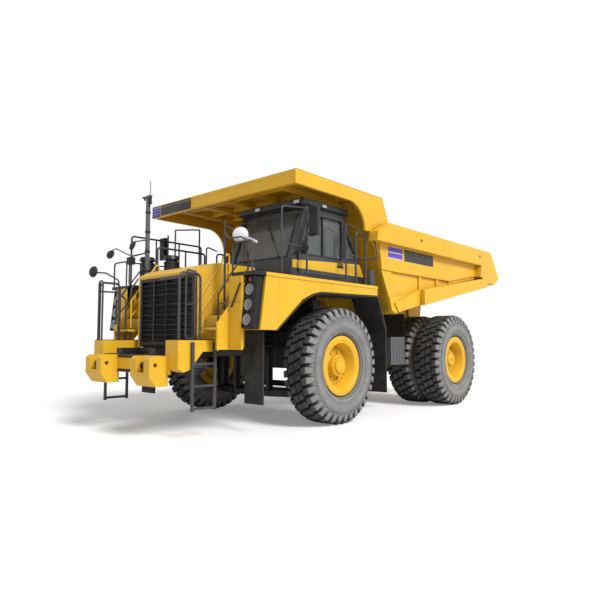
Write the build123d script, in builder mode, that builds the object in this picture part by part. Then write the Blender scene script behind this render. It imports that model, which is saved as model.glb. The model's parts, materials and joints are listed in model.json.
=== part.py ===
"""Rigid mining dump truck, 55 t class, modelled in millimetres.

Row frame: +X is the truck's left, +Y its rear, +Z up. The origin is on the ground under the
middle of the overall length. Stations along the truck are given as distances behind the front
axle, through aft().
"""

import math
import os

from build123d import *

# ---------------------------------------------------------------- driving dimensions
wheelbase = 4300.0
front_axle_y = -1675.0  # puts the origin under the middle of the overall length
front_track = 3514.0  # centre to centre of the front tyres
dual_centre_x = 1540.0  # middle of each rear pair
dual_spacing = 760.0  # centre to centre of two twinned tyres
tyre_radius = 1065.0
tyre_width = 640.0
rim_seat_radius = 444.0
rim_flange_radius = 545.0
rim_width = 470.0

rail_inner_x, rail_outer_x = 400.0, 580.0  # chassis rails
rail_top_z, rail_bottom_z = 1940.0, 1380.0
rail_rear = 5290.0  # station of the rails' rear end

platform_z = 1530.0
deck_z, deck_thick = 2600.0, 60.0
deck_half = 2080.0
hood_half, hood_top_z = 1000.0, 2835.0
grille_station = -2450.0

pivot_station, pivot_z = 5150.0, 1850.0  # the bed's hinge
bed_lift_deg = 48.0
bed_half = 2297.0  # outside of the top rails
bed_wall_x, bed_wall = 2035.0, 60.0  # inner face and thickness of a side sheet
canopy_half, canopy_top_z = 2093.0, 4415.0
canopy_front = -1380.0

kingpin_x = 1290.0
seat_gap = 0.3  # between a piece and what it rests on
run_gap = 6.0  # between pieces that move past each other
pin_gap = 0.8  # at pins, bearings and rods

os.makedirs("parts", exist_ok=True)
sides = ((1, "left"), (-1, "right"))


def aft(distance):
    """Row y of a station this far behind the front axle."""
    return front_axle_y + distance


# ---------------------------------------------------------------- helpers
def save(part, label):
    """Writes one finished node."""
    part.label = label
    export_step(part, f"parts/{label}.step")


def prism(outline, x0, x1, mode=Mode.ADD):
    """Extrudes a side-view outline, in (station, z), from x0 to x1."""
    with BuildSketch(Plane.YZ.offset(min(x0, x1))) as profile:
        with BuildLine():
            Polyline(*[(aft(a), z) for a, z in outline], close=True)
        make_face()
    extrude(profile.sketch, amount=abs(x1 - x0), mode=mode)


def plan(outline, z0, z1, mode=Mode.ADD):
    """Extrudes a plan outline, in (x, station), from z0 to z1."""
    with BuildSketch(Plane.XY.offset(z0)) as profile:
        with BuildLine():
            Polyline(*[(x, aft(a)) for x, a in outline], close=True)
        make_face()
    extrude(profile.sketch, amount=z1 - z0, mode=mode)


def block(x0, x1, a0, a1, z0, z1, mode=Mode.ADD):
    """A box between two x, two stations and two heights."""
    with Locations(((x0 + x1) / 2, aft((a0 + a1) / 2), (z0 + z1) / 2)):
        Box(abs(x1 - x0), abs(a1 - a0), abs(z1 - z0), mode=mode)


def rod(start, end, radius, mode=Mode.ADD):
    """A round bar between two points given as (x, station, z)."""
    p = Vector(start[0], aft(start[1]), start[2])
    q = Vector(end[0], aft(end[1]), end[2])
    with BuildSketch(Plane(origin=p, z_dir=q - p)) as section:
        Circle(radius)
    extrude(section.sketch, amount=(q - p).length, mode=mode)


def tube(points, radius, bend):
    """A bent round tube through points given as (x, station, z)."""
    with BuildLine() as path:
        FilletPolyline(*[(x, aft(a), z) for x, a, z in points], radius=bend)
    with BuildSketch(Plane(origin=path.line @ 0, z_dir=path.line % 0)) as section:
        Circle(radius)
    sweep(section.sketch, path=path.line)


def disc(x0, x1, station, z, radius, mode=Mode.ADD):
    """A cylinder across the truck, from x0 to x1."""
    rod((min(x0, x1), station, z), (max(x0, x1), station, z), radius, mode)


def offset_line(outline, distance):
    """The outline's points moved square to their neighbours' line, to give a sheet its second face."""
    moved = []
    for i, (a, z) in enumerate(outline):
        before, after = outline[max(i - 1, 0)], outline[min(i + 1, len(outline) - 1)]
        along = Vector(after[0] - before[0], after[1] - before[1]).normalized()
        moved.append((a - along.Y * distance, z + along.X * distance))
    return moved


# ---------------------------------------------------------------- wheels
front_wheel_x = front_track / 2
inner_rear_x = dual_centre_x - dual_spacing / 2
outer_rear_x = dual_centre_x + dual_spacing / 2
bead_gap = 0.4


def tyre_solid(x):
    """One earthmover tyre round the axis through its centre at x."""
    half, seat = tyre_width / 2, rim_seat_radius + bead_gap
    with BuildSketch(Plane.XY) as section:
        with BuildLine():
            Polyline(
                (-half * 0.59, seat),
                (half * 0.59, seat),
                (half * 0.63, rim_flange_radius + 12),
                (half * 0.95, rim_flange_radius + 90),
                (half, tyre_radius * 0.72),
                (half * 0.97, tyre_radius * 0.86),
                (half * 0.86, tyre_radius * 0.975),
                (half * 0.60, tyre_radius),
                (-half * 0.60, tyre_radius),
                (-half * 0.86, tyre_radius * 0.975),
                (-half * 0.97, tyre_radius * 0.86),
                (-half, tyre_radius * 0.72),
                (-half * 0.95, rim_flange_radius + 90),
                (-half * 0.63, rim_flange_radius + 12),
                close=True,
            )
        make_face()
    return revolve(section.sketch, axis=Axis.X, mode=Mode.PRIVATE).moved(Location((x, 0, 0)))


def wheel_place(station):
    """Where a wheel's own axis lies in the row frame."""
    return Location((0, aft(station), tyre_radius))


def rim_solid(x, out, dish):
    """One rim on the X axis: out is +1 where its open side faces +X, dish its disc's depth inside."""
    half, seat = rim_width / 2, rim_seat_radius
    outline = [
        (half, seat - 22),
        (half, rim_flange_radius - 8),
        (half - 14, rim_flange_radius),
        (half - 28, rim_flange_radius - 8),
        (half - 40, seat),
        (-half + 40, seat),
        (-half + 28, rim_flange_radius - 8),
        (-half + 14, rim_flange_radius),
        (-half, rim_flange_radius - 8),
        (-half, seat - 22),
        (half - dish - 60, seat - 60),
        (half - dish - 60, 150),
        (half - dish, 150),
        (half - dish, seat - 90),
    ]
    with BuildSketch(Plane.XY) as section:
        with BuildLine():
            Polyline(*[(out * u, r) for u, r in outline], close=True)
        make_face()
    return revolve(section.sketch, axis=Axis.X, mode=Mode.PRIVATE).moved(Location((x, 0, 0)))


front_dish, rear_dish = 190.0, 260.0
for side, name in sides:
    with BuildPart() as front_tyre:
        add(tyre_solid(side * front_wheel_x).moved(wheel_place(0)))
    save(front_tyre.part, f"front_tyre_{name}")

    with BuildPart() as front_rim:
        add(rim_solid(side * front_wheel_x, side, front_dish).moved(wheel_place(0)))
        hub_face = side * (front_wheel_x + rim_width / 2 - front_dish)
        disc(hub_face - side * 60, hub_face + side * 130, 0, tyre_radius, 190)
        disc(hub_face + side * 130, hub_face + side * 165, 0, tyre_radius, 130)
        disc(hub_face - side * 110, hub_face - side * 60, 0, tyre_radius, 230)
    save(front_rim.part, f"front_rim_{name}")

    with BuildPart() as rear_tyres:
        for x in (inner_rear_x, outer_rear_x):
            add(tyre_solid(side * x).moved(wheel_place(wheelbase)))
    save(rear_tyres.part, f"rear_tyres_{name}")

    with BuildPart() as rear_rims:
        add(rim_solid(side * outer_rear_x, side, rear_dish).moved(wheel_place(wheelbase)))
        add(rim_solid(side * inner_rear_x, -side, rear_dish).moved(wheel_place(wheelbase)))
        disc(side * (inner_rear_x - 20), side * (outer_rear_x + 20), wheelbase, tyre_radius, 300)
        disc(side * (outer_rear_x + 20), side * (outer_rear_x + 90), wheelbase, tyre_radius, 230)
    save(rear_rims.part, f"rear_rims_{name}")

# ---------------------------------------------------------------- front suspension and steering
strut_top_z = 2180.0
arm_z = 700.0
knuckle_top_z = 1500.0
for side, name in sides:
    with BuildPart() as knuckle:
        # upright with the strut's lower barrel on the kingpin line
        disc_x = front_wheel_x + rim_width / 2 - front_dish - 110 - pin_gap
        rod((side * kingpin_x, 0, 560), (side * kingpin_x, 0, knuckle_top_z), 120)
        disc(side * kingpin_x, side * disc_x, 0, tyre_radius, 150)
        # steering arm behind the axle
        block(side * (kingpin_x - 60), side * (kingpin_x + 60), 0, 330, 600, 660)
        rod((side * kingpin_x, 330, 600), (side * kingpin_x, 330, 660), 70)
    save(knuckle.part, f"knuckle_{name}")

with BuildPart() as front_suspension:
    for side, name in sides:
        # strut rod from the frame tower, on the kingpin line
        rod((side * kingpin_x, 0, knuckle_top_z + pin_gap), (side * kingpin_x, 0, strut_top_z), 75)
        rod((side * kingpin_x, 0, strut_top_z), (side * kingpin_x, 0, strut_top_z + 120), 150)
        # tower arm from the chassis rail to the strut top
        prism([(-150, 1700), (150, 1700), (150, 1980), (-150, 1980)],
              side * (rail_outer_x + seat_gap), side * (rail_outer_x + 160))
        prism([(-110, strut_top_z - 330), (110, strut_top_z - 330), (110, strut_top_z - 90), (-110, strut_top_z - 90)],
              side * (rail_outer_x + 160), side * (kingpin_x - 76))
        prism([(-110, strut_top_z - 90), (110, strut_top_z - 90), (110, strut_top_z + 60), (-110, strut_top_z + 60)],
              side * (rail_outer_x + 160), side * (kingpin_x + 120))
        # lower wishbone under the knuckle
        root_x = rail_outer_x - 60 + seat_gap
        plan([(side * root_x, -420), (side * (kingpin_x + 60), -90), (side * (kingpin_x + 60), 90),
              (side * root_x, 420), (side * root_x, 260), (side * (kingpin_x - 160), 0),
              (side * root_x, -260)], 440, 560 - pin_gap)
save(front_suspension.part, "front_suspension")

# steering cylinders: barrel pinned to the frame, rod eye above the knuckle's arm
steer_pin_x, steer_pin_station = 560.0, 480.0
steer_eye_z0 = 660.0 + run_gap
steer_mid_z = steer_eye_z0 + 45.0
steer_gap_x, steer_gap_a = kingpin_x - steer_pin_x, 330.0 - steer_pin_station
steer_length = math.hypot(steer_gap_x, steer_gap_a)
for side, name in sides:
    eye = (side * kingpin_x, 330.0)
    base = (side * steer_pin_x, steer_pin_station)
    u = ((eye[0] - base[0]) / steer_length, (eye[1] - base[1]) / steer_length)

    def along(distance):
        """A point on the cylinder's axis, this far from its base pin."""
        return (base[0] + u[0] * distance, base[1] + u[1] * distance, steer_mid_z)

    with BuildPart() as steer_barrel:
        rod(along(60), along(430), 55)
        rod((base[0], base[1], steer_mid_z - 40), (base[0], base[1], steer_mid_z + 40), 62)
        rod((base[0], base[1], steer_mid_z - 50), (base[0], base[1], steer_mid_z + 50), 30 + pin_gap, Mode.SUBTRACT)
        rod(along(120), along(440), 30 + pin_gap, Mode.SUBTRACT)
    save(steer_barrel.part, f"steer_barrel_{name}")

    with BuildPart() as steer_rod:
        rod(along(400), along(steer_length - 30), 30)
        rod((eye[0], eye[1], steer_mid_z - 45), (eye[0], eye[1], steer_mid_z + 45), 55)
    save(steer_rod.part, f"steer_rod_{name}")

# ---------------------------------------------------------------- frame
hoist_x = 715.0
hoist_base_station, hoist_base_z = 3050.0, 950.0
pivot_pin_radius = 60.0
with BuildPart() as frame:
    for side, name in sides:
        prism([(-3040, 1120), (-2300, 1120), (-1500, rail_bottom_z), (3600, rail_bottom_z), (4100, 1520),
               (rail_rear, 1620), (rail_rear + 30, 1850), (rail_rear - 60, rail_top_z), (-1000, rail_top_z),
               (-1900, 1560), (-2200, 1400), (-3040, 1400)], side * rail_inner_x, side * rail_outer_x)
        # engine mounts
        for station in (-1500, -300):
            block(side * (360 + seat_gap), side * (rail_inner_x + 5), station - 90, station + 90, 1420, 1540)
        # steering cylinder bracket with its pin
        block(side * 400, side * 640, steer_pin_station - 70, steer_pin_station + 70, 580, steer_mid_z - 65)
        rod((side * steer_pin_x, steer_pin_station, steer_mid_z - 66),
            (side * steer_pin_x, steer_pin_station, steer_mid_z - 46), 50)
        rod((side * steer_pin_x, steer_pin_station, steer_mid_z - 60),
            (side * steer_pin_x, steer_pin_station, steer_mid_z + 45), 30)
        # hangers to the steering and hoist cross tubes
        prism([(380, 560), (620, 560), (620, 1400), (380, 1400)], side * 410, side * 480)
        prism([(hoist_base_station - 130, 860), (hoist_base_station + 130, 860), (hoist_base_station + 220, 1400),
               (hoist_base_station - 220, 1400)], side * 440, side * 560)
        disc(side * 560, side * (hoist_x + 85), hoist_base_station, hoist_base_z, 50)
        # posts under the deck, arms to the hood
        for station in (-900, 950):
            block(side * 420, side * 560, station - 60, station + 60, rail_top_z - 10,
                  deck_z - deck_thick - seat_gap)
        block(side * (rail_outer_x - 10), side * (hood_half - 40 - seat_gap), -1400, -1300, 1640, 1740)
        # bed hinge pin through the rail
        disc(side * (rail_inner_x - 110), side * (rail_outer_x + 110), pivot_station, pivot_z, pivot_pin_radius)
    for station, z0, z1 in ((-2700, 1130, 1390), (1500, 1400, 1900), (2450, 1330 + seat_gap, 1900),
                            (4700, 1640, 1880)):
        block(-rail_inner_x, rail_inner_x, station - 60, station + 60, z0, z1)
    disc(-440, 440, 500, 620, 60)
    disc(-440, 440, hoist_base_station, hoist_base_z, 80)
    # wishbone carriers
    for station in (-340, 340):
        block(-rail_outer_x + 60, rail_outer_x - 60, station - 60, station + 60, 440, 540)
        for side, name in sides:
            block(side * 430, side * 510, station - 60, station + 60, 530, 1400)
save(frame.part, "frame")

# ---------------------------------------------------------------- rear axle
axle_inner_x = inner_rear_x - tyre_width / 2
with BuildPart() as rear_axle:
    disc(-600, 600, wheelbase, tyre_radius, 210)
    with Locations((0, aft(wheelbase), tyre_radius)):
        Sphere(420)
    for side, name in sides:
        disc(side * 600, side * (inner_rear_x - 20 - pin_gap), wheelbase, tyre_radius, 180)
        # A-frame leg forward to the frame, and the suspension cylinder's foot
        prism([(2500, 1180), (wheelbase, 980), (wheelbase, 1140), (2500, 1330)], side * 200, side * 320)
        prism([(wheelbase, 940), (wheelbase + 360, 860), (wheelbase + 360, 960), (wheelbase + 200, 960),
               (wheelbase, 1100)], side * 640, side * 760)
save(rear_axle.part, "rear_axle")

with BuildPart() as rear_suspension:
    for side, name in sides:
        # suspension cylinder from the axle's foot up to the rail
        rod((side * 700, wheelbase + 300, 1030), (side * 700, wheelbase + 300, 1450), 80)
        rod((side * 700, wheelbase + 300, 1440), (side * 700, wheelbase + 300, 1760), 55)
        block(side * 640, side * 760, wheelbase + 230, wheelbase + 355, 960 + seat_gap, 1040)
        block(side * (rail_outer_x + seat_gap), side * 760, wheelbase + 240, wheelbase + 360, 1700, 1790)
save(rear_suspension.part, "rear_suspension")

# ---------------------------------------------------------------- engine
with BuildPart() as engine:
    block(-360, 360, -2150, 150, 1240, 2450)
save(engine.part, "engine")

with BuildPart() as radiator:
    block(-780, 780, -2380, -2250, 1400 + seat_gap, 2640)
save(radiator.part, "radiator")

# ---------------------------------------------------------------- front bumper and platforms
boss_in, boss_out = 450.0, 960.0
bumper_front = -3400.0
wing_out = 1250.0
tow_bore_radius = 35.0
tow_bore_station, tow_bore_z = -3290.0, 1150.0
with BuildPart() as bumper:
    for side, name in sides:
        # box boss that carries the tow pin
        prism([(bumper_front, 980), (bumper_front, 1240), (bumper_front + 50, 1290), (-3060, 1290), (-3060, 820),
               (bumper_front + 120, 820)], side * boss_in, side * boss_out)
        block(side * (boss_in + 150), side * (boss_out - 150), -3400, -3180, 1040, 1300, Mode.SUBTRACT)
        disc(side * (boss_in - 10), side * (boss_out + 10), tow_bore_station, tow_bore_z, tow_bore_radius,
             Mode.SUBTRACT)
        # platform wing beside the radiator
        prism([(-3094, platform_z), (-3094, 1100), (-2980, 1040), (-2860, 1080), (-2620, 1350), (-2300, 1350),
               (-2300, platform_z)], side * (hood_half + 5), side * wing_out)
        block(side * (boss_out - 30), side * (hood_half + 10), -3094, -2700, 1300, platform_z)
        block(side * (boss_out - 30), side * (hood_half + 10), -3094, -3041, 1000, 1310)
    block(-boss_out, boss_out, -3094, -3040 - seat_gap, 1000, 1290)
save(bumper.part, "bumper")

# ---------------------------------------------------------------- hood and grille
sheet = 40.0


def hood_block(inset):
    """The hood's volume, moved in by inset on every outer face."""
    half, nose = hood_half - inset, grille_station + inset
    plan([(-half, -1260 + inset / 4), (-half, -2230), (-860 + inset / 2, nose), (860 - inset / 2, nose),
          (half, -2230), (half, -1260 + inset / 4)], 1400 - inset, hood_top_z - inset)
    prism([(nose - 10, 2690 - inset), (nose - 10, hood_top_z + 10), (-2120, hood_top_z + 10),
           (-2120, hood_top_z - inset), (nose + 20, 2710 - inset)], -half - 10, half + 10, Mode.SUBTRACT)


with BuildPart() as hood_room:
    hood_block(sheet)

with BuildPart() as hood:
    hood_block(0)
    add(hood_room.part, mode=Mode.SUBTRACT)
    # the grille's opening
    block(-800, 800, grille_station - 10, grille_station + sheet + 10, 1350, 2640, Mode.SUBTRACT)
save(hood.part, "hood")

with BuildPart() as grille:
    block(-800 + seat_gap, 800 - seat_gap, grille_station + 5, grille_station + 60, 1440, 2640 - seat_gap)
    block(-740, 740, grille_station, grille_station + 70, 1500, 2590, Mode.SUBTRACT)
    for i in range(12):
        z = 1530 + i * 89
        prism([(grille_station + 10, z), (grille_station + 55, z + 30), (grille_station + 55, z + 42),
               (grille_station + 10, z + 12)], -745, 745)
    for x in (-370, 0, 370):
        block(x - 12, x + 12, grille_station + 5, grille_station + 60, 1490, 2600)
save(grille.part, "grille")

# ---------------------------------------------------------------- stairs, deck and fenders
stair_in, stair_out = hood_half + seat_gap, hood_half + 480
stair_top = deck_z - deck_thick - seat_gap
with BuildPart() as stairs:
    for side, name in sides:
        for i in range(4):
            z = platform_z + (i + 1) * (deck_z - deck_thick - platform_z) / 5
            a = -2560 + i * 215
            block(side * stair_in, side * stair_out, a, a + 240, z - 40, z)
            block(side * stair_in, side * stair_out, a + 200, a + 240, z - 40, z + 180)
        prism([(-2560, 1380), (-2560, 1800), (-1900, stair_top), (-1600, stair_top), (-1600, 1700), (-2000, 1700),
               (-2290, 1380)], side * stair_out, side * (stair_out + 40))
        block(side * (stair_out + 30), side * 1820, -2330, -2290, 1380, stair_top)
save(stairs.part, "stairs")

with BuildPart() as deck:
    plan([(-deck_half, -2300), (-stair_out - 60, -2300), (-stair_out - 60, -1600), (-hood_half - seat_gap, -1600),
          (-hood_half - seat_gap, -1260 + seat_gap), (hood_half + seat_gap, -1260 + seat_gap),
          (hood_half + seat_gap, -1600), (stair_out + 60, -1600),
          (stair_out + 60, -2300), (deck_half, -2300), (deck_half, 1080), (-deck_half, 1080)],
         deck_z - deck_thick, deck_z)
save(deck.part, "deck")

fender_outline = [(-2174, 1690), (-1813, 1690), (-1185, 2210), (-900, 2330), (-700, 2370), (1080, 2410),
                  (1080, deck_z - deck_thick - seat_gap), (-2050, deck_z - deck_thick - seat_gap)]
with BuildPart() as fenders:
    for side, name in sides:
        prism(fender_outline, side * (deck_half - 30), side * deck_half)
        prism([(-2174, 1690), (-2134, 1690), (-2010, deck_z - deck_thick - seat_gap),
               (-2050, deck_z - deck_thick - seat_gap)], side * 1600, side * (deck_half - 20))
save(fenders.part, "fenders")

with BuildPart() as headlamps:
    for side, name in sides:
        prism([(-2330, 1720), (-2172.8, 1700), (-2051.7, 2530), (-2240, 2530)],
              side * 1830, side * (deck_half - 40))
save(headlamps.part, "headlamps")

with BuildPart() as mudguards:
    for side, name in sides:
        block(side * 1300, side * 1740, -1780, -1750, 480, 1700 - seat_gap)
        prism([(1420, 480), (1420, 1750), (1180, 2300), (1020, 2539.7), (1068, 2539.7), (1215, 2320), (1460, 1760),
               (1460, 480)], side * 1400, side * (deck_half - 40))
save(mudguards.part, "mudguards")

# ---------------------------------------------------------------- tanks
with BuildPart() as hydraulic_tank:
    block(880, 1750, 2080, 2650, 1000, 1600)
    block(rail_outer_x + seat_gap, 900, 2150, 2580, 1450, 1590)
save(hydraulic_tank.part, "hydraulic_tank")
with BuildPart() as fuel_tank:
    block(-1780, -880, 1750, 2800, 850, 1650)
    block(-900, -rail_outer_x - seat_gap, 1850, 2700, 1450, 1640)
save(fuel_tank.part, "fuel_tank")

# ---------------------------------------------------------------- cab
cab_in, cab_out = 200.0, 1800.0
cab_floor_z, cab_roof_z = deck_z, 3960.0
cab_side = [(-1165, cab_floor_z), (-1165, 2950), (-800, cab_roof_z), (310, cab_roof_z), (1000, 2800),
            (1000, cab_floor_z)]
wall = 60.0
hinge_out, hinge_station, hinge_radius = 22.0, -1000.0, 16.0
hinge_heights = (2790.0, 2990.0)
with BuildPart() as cab_shell:
    prism([(a, z + seat_gap) for a, z in cab_side], cab_in, cab_out)
    prism([(-1165 + wall, cab_floor_z + wall), (-1165 + wall, 2960), (-800 + wall, cab_roof_z + 20),
           (310 - wall, cab_roof_z + 20), (1000 - wall, 2790), (1000 - wall, cab_floor_z + wall)],
          cab_in + wall, cab_out - wall, Mode.SUBTRACT)
    # windscreen, rear window and side openings
    prism([(-1400, 2980), (-600, 2980), (-600, 3900), (-1400, 3900)], cab_in + 110, cab_out - 110, Mode.SUBTRACT)
    prism([(200, 3000), (1200, 3000), (1200, 3860), (200, 3860)], cab_in + 150, cab_out - 150, Mode.SUBTRACT)
    prism([(-980, 2700), (-980, 3060), (-720, 3880), (330, 3880), (330, 2700)], cab_in - 10, cab_out + 10,
          Mode.SUBTRACT)
    prism([(400, 3100), (400, 3640), (780, 3100)], cab_in - 10, cab_out + 10, Mode.SUBTRACT)
    # the doors' hinge posts, above and below each barrel
    for side, skin in ((1, cab_out), (-1, cab_in)):
        for z in hinge_heights:
            for z0, z1 in ((z - 50, z - pin_gap), (z + 60 + pin_gap, z + 110)):
                hinge_x = skin + side * hinge_out
                rod((hinge_x, hinge_station, z0), (hinge_x, hinge_station, z1), hinge_radius)
                block(skin - side * 5, hinge_x, hinge_station - 14, hinge_station + 8, z0, z1)
save(cab_shell.part, "cab_shell")

with BuildPart() as cab_roof:
    block(cab_in - 40, cab_out + 40, -880, 420, cab_roof_z + 2 * seat_gap, cab_roof_z + 100)
save(cab_roof.part, "cab_roof")

with BuildPart() as cab_glass:
    for line, x0, x1 in (([(-1133, 2986), (-812, 3896)], cab_in + 110 + seat_gap, cab_out - 110 - seat_gap),
                         ([(328, 3852), (834, 3008)], cab_in + 150 + seat_gap, cab_out - 150 - seat_gap)):
        prism(line + offset_line(line, -8)[::-1], x0, x1)
    for x in (cab_in + 26, cab_out - 34):
        prism([(401, 3101), (401, 3637), (777, 3101)], x, x + 8)
save(cab_glass.part, "cab_glass")

with BuildPart() as cab_interior:
    block(900, 1450, -60, 440, cab_floor_z + wall + seat_gap, 3050)
    block(900, 1450, 350, 440, 3040, 3500)
    block(400, 1600, -1060, -760, cab_floor_z + wall + seat_gap, 3000)
save(cab_interior.part, "cab_interior")

door_gap = 8.0
door_top = 3880 - door_gap
for side, name in sides:
    skin = cab_out if side > 0 else cab_in
    x0, x1 = skin - side * 50, skin + side * 10
    hinge_x = skin + side * hinge_out
    with BuildPart() as door:
        prism([(-980 + door_gap, 2700 + door_gap), (-980 + door_gap, 3060), (-720 + door_gap, door_top),
               (330 - door_gap, door_top), (330 - door_gap, 2700 + door_gap)], x0, x1)
        prism([(-900, 3060), (-660, 3800), (250, 3800), (250, 3060)], x0 - 100, x1 + 100, Mode.SUBTRACT)
        for z in hinge_heights:
            rod((hinge_x, hinge_station, z), (hinge_x, hinge_station, z + 60), hinge_radius)
            block(skin + side * 2, hinge_x, hinge_station, -940, z, z + 60)
    save(door.part, f"door_{name}")
    with BuildPart() as door_glass:
        middle = (x0 + x1) / 2
        prism([(-899.6, 3060.3), (-659.7, 3799.7), (249.7, 3799.7), (249.7, 3060.3)], middle - 4, middle + 4)
    save(door_glass.part, f"door_glass_{name}")

# ---------------------------------------------------------------- handrails, ladders, mirrors, mast
rail_r = 20.0
with BuildPart() as handrails:
    for side, name in sides:
        # beside the cab and its mirror image
        for a0, a1 in ((400, 720),):
            x = side * (deck_half - 40)
            tube([(x, a0, deck_z + seat_gap), (x, a0, deck_z + 1000), (x, a1, deck_z + 1000),
                  (x, a1, deck_z + seat_gap)], rail_r, 90)
        # on the bumper wings
        x = side * (wing_out - 60)
        tube([(x, -3040, platform_z + seat_gap), (x, -3040, platform_z + 1050), (x, -2640, platform_z + 1050),
              (x, -2640, platform_z + seat_gap)], rail_r, 90)
save(handrails.part, "handrails")

with BuildPart() as ladders:
    for side, name in sides:
        x = side * (wing_out + 30)
        for a in (-2840, -2400):
            rod((x, a, 440), (x, a, 1500), 28)
            block(side * (wing_out + seat_gap), x, a - 25, a + 25, 1380, 1480)
        for z in (480, 820, 1160):
            rod((x, -2840, z), (x, -2400, z), 22)
save(ladders.part, "ladders")

with BuildPart() as mirrors:
    for side, name in sides:
        x = side * 2190
        block(x - 100, x + 100, -1040, -980, deck_z + 900, deck_z + 1320)
        rod((side * (deck_half - 60), -1010, deck_z + seat_gap), (side * (deck_half - 60), -1010, deck_z + 1000), 20)
        rod((side * (deck_half - 60), -1010, deck_z + 980), (side * 2100, -1010, deck_z + 980), 18)
save(mirrors.part, "mirrors")

with BuildPart() as mast:
    rod((-1500, -1870, deck_z + seat_gap), (-1500, -1870, 4460), 45)
    block(-1560, -1400, -1900, -1840, 4440, 4470)
    rod((-1430, -1870, 4470), (-1430, -1870, 4760), 8)
save(mast.part, "mast")

with BuildPart() as air_cleaner:
    rod((-1750, -1700, deck_z + seat_gap), (-1750, -1700, deck_z + 520), 150)
save(air_cleaner.part, "air_cleaner")

# ---------------------------------------------------------------- dump bed
floor_front, floor_front_z = 1560.0, 2095.0
floor_rear, floor_rear_z = 6440.0, 3010.0
floor_thick = 110.0
slope = (floor_rear_z - floor_front_z) / (floor_rear - floor_front)


def floor_z(station):
    """Underside of the bed's floor at a station."""
    return floor_front_z + slope * (station - floor_front)


longeron_rear = pivot_station - 100
ear_gap = run_gap
with BuildPart() as bed_floor:
    prism([(floor_front, floor_front_z), (floor_rear, floor_rear_z), (6750, 3200), (6700, 3220),
           (floor_rear, floor_rear_z + floor_thick), (floor_front, floor_front_z + floor_thick)],
          -bed_wall_x + seat_gap, bed_wall_x - seat_gap)
    for side, name in sides:
        prism([(1750, floor_z(1750) + 20), (1750, 2060), (1850, 2000), (longeron_rear, 2000),
               (longeron_rear, floor_z(longeron_rear) + 20)], side * rail_inner_x, side * rail_outer_x)
        # rest pad on the chassis rail
        block(side * (rail_inner_x + 20), side * (rail_outer_x - 20), 1900, 2900, rail_top_z + seat_gap, 2010)
        # hinge ears either side of the rail
        for x0, x1 in ((rail_inner_x - 60, rail_inner_x - ear_gap), (rail_outer_x + ear_gap, rail_outer_x + 60)):
            prism([(pivot_station - 400, floor_z(pivot_station - 400) + 20), (pivot_station - 400, 2200),
                   (pivot_station - 130, pivot_z - 60), (pivot_station - 60, pivot_z - 130),
                   (pivot_station + 60, pivot_z - 130), (pivot_station + 130, pivot_z - 60),
                   (pivot_station + 350, floor_z(pivot_station + 350) + 20)], side * x0, side * x1)
            disc(side * (x0 - 20), side * (x1 + 20), pivot_station, pivot_z, pivot_pin_radius + pin_gap,
                 Mode.SUBTRACT)
    # ears that take the hoist's rod eye
    for side, name in sides:
        for x0, x1 in ((hoist_x - 96, hoist_x - 66), (hoist_x + 66, hoist_x + 96)):
            prism([(2900, 2100), (3200, 2100), (3200, floor_z(3200) + 20), (2900, floor_z(2900) + 20)],
                  side * x0, side * x1)
save(bed_floor.part, "bed_floor")

floor_top = floor_thick + seat_gap
head_top = canopy_top_z - 60 - seat_gap
for side, name in sides:
    with BuildPart() as bed_side:
        x0, x1 = side * bed_wall_x, side * (bed_wall_x + bed_wall)
        prism([(1560, 2110), (1650, 2080), (floor_rear, floor_rear_z), (6750, 3220), (6230, 3870), (1190, 3870),
               (800, 3650), (1000, 3400)], x0, x1)
        # top rail
        prism([(760, 3470), (800, 3650), (1190, 3870), (6230, 3870), (6520, 3510), (5626, 3470)],
              x1, side * bed_half)
        # rear post
        prism([(5626, 3470), (6520, 3520), (6750, 3220), (floor_rear, floor_rear_z), (6000, 3060), (5550, 3180)],
              x1, side * bed_half)
        # lower rib along the floor
        prism([(2600, floor_z(2600)), (6010, floor_z(6010)), (6010, floor_z(6010) + 240), (2600, floor_z(2600) + 340)],
              x1, side * bed_half)
        prism([(1500, 2130), (1650, 2080), (2600, floor_z(2600)), (2600, floor_z(2600) + 240), (1400, 2400)],
              x1, x1 + side * 60)
        # upper panel
        prism([(1150, 2940), (1060, 3470), (5640, 3470), (5560, 3190), (4100, 2940)], x1, x1 + side * 50)
    save(bed_side.part, f"bed_side_{name}")

with BuildPart() as bed_headboard:
    prism([(1570, floor_z(1570) + floor_top), (1010, 3620), (830, head_top), (922, head_top), (1100, 3640),
           (1670, floor_z(1670) + floor_top)], -bed_wall_x + seat_gap, bed_wall_x - seat_gap)
save(bed_headboard.part, "bed_headboard")

with BuildPart() as bed_canopy:
    block(-canopy_half, canopy_half, canopy_front, 1275, canopy_top_z - 60, canopy_top_z)
    block(-canopy_half, canopy_half, canopy_front, canopy_front + 80, canopy_top_z - 250, canopy_top_z - 50)
    for side, name in sides:
        with BuildSketch(Plane.YZ.offset(min(side * (canopy_half - 0), side * (bed_wall_x + seat_gap)))) as gusset:
            with BuildLine():
                Polyline((aft(150), 4165), (aft(canopy_front), 4165), (aft(canopy_front), canopy_top_z),
                         (aft(1275), canopy_top_z), (aft(1500), 3900), (aft(1190), 3872), (aft(820), 3665),
                         (aft(650), 3665))
                RadiusArc((aft(650), 3665), (aft(150), 4165), -500)
            make_face()
        extrude(gusset.sketch, amount=canopy_half - bed_wall_x - seat_gap)
    for x in (-1400, -700, 0, 700, 1400):
        prism([(canopy_front + 60, canopy_top_z - 160), (700, canopy_top_z - 200), (700, canopy_top_z - 50),
               (canopy_front + 60, canopy_top_z - 50)], x - 20, x + 20)
save(bed_canopy.part, "bed_canopy")

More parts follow.
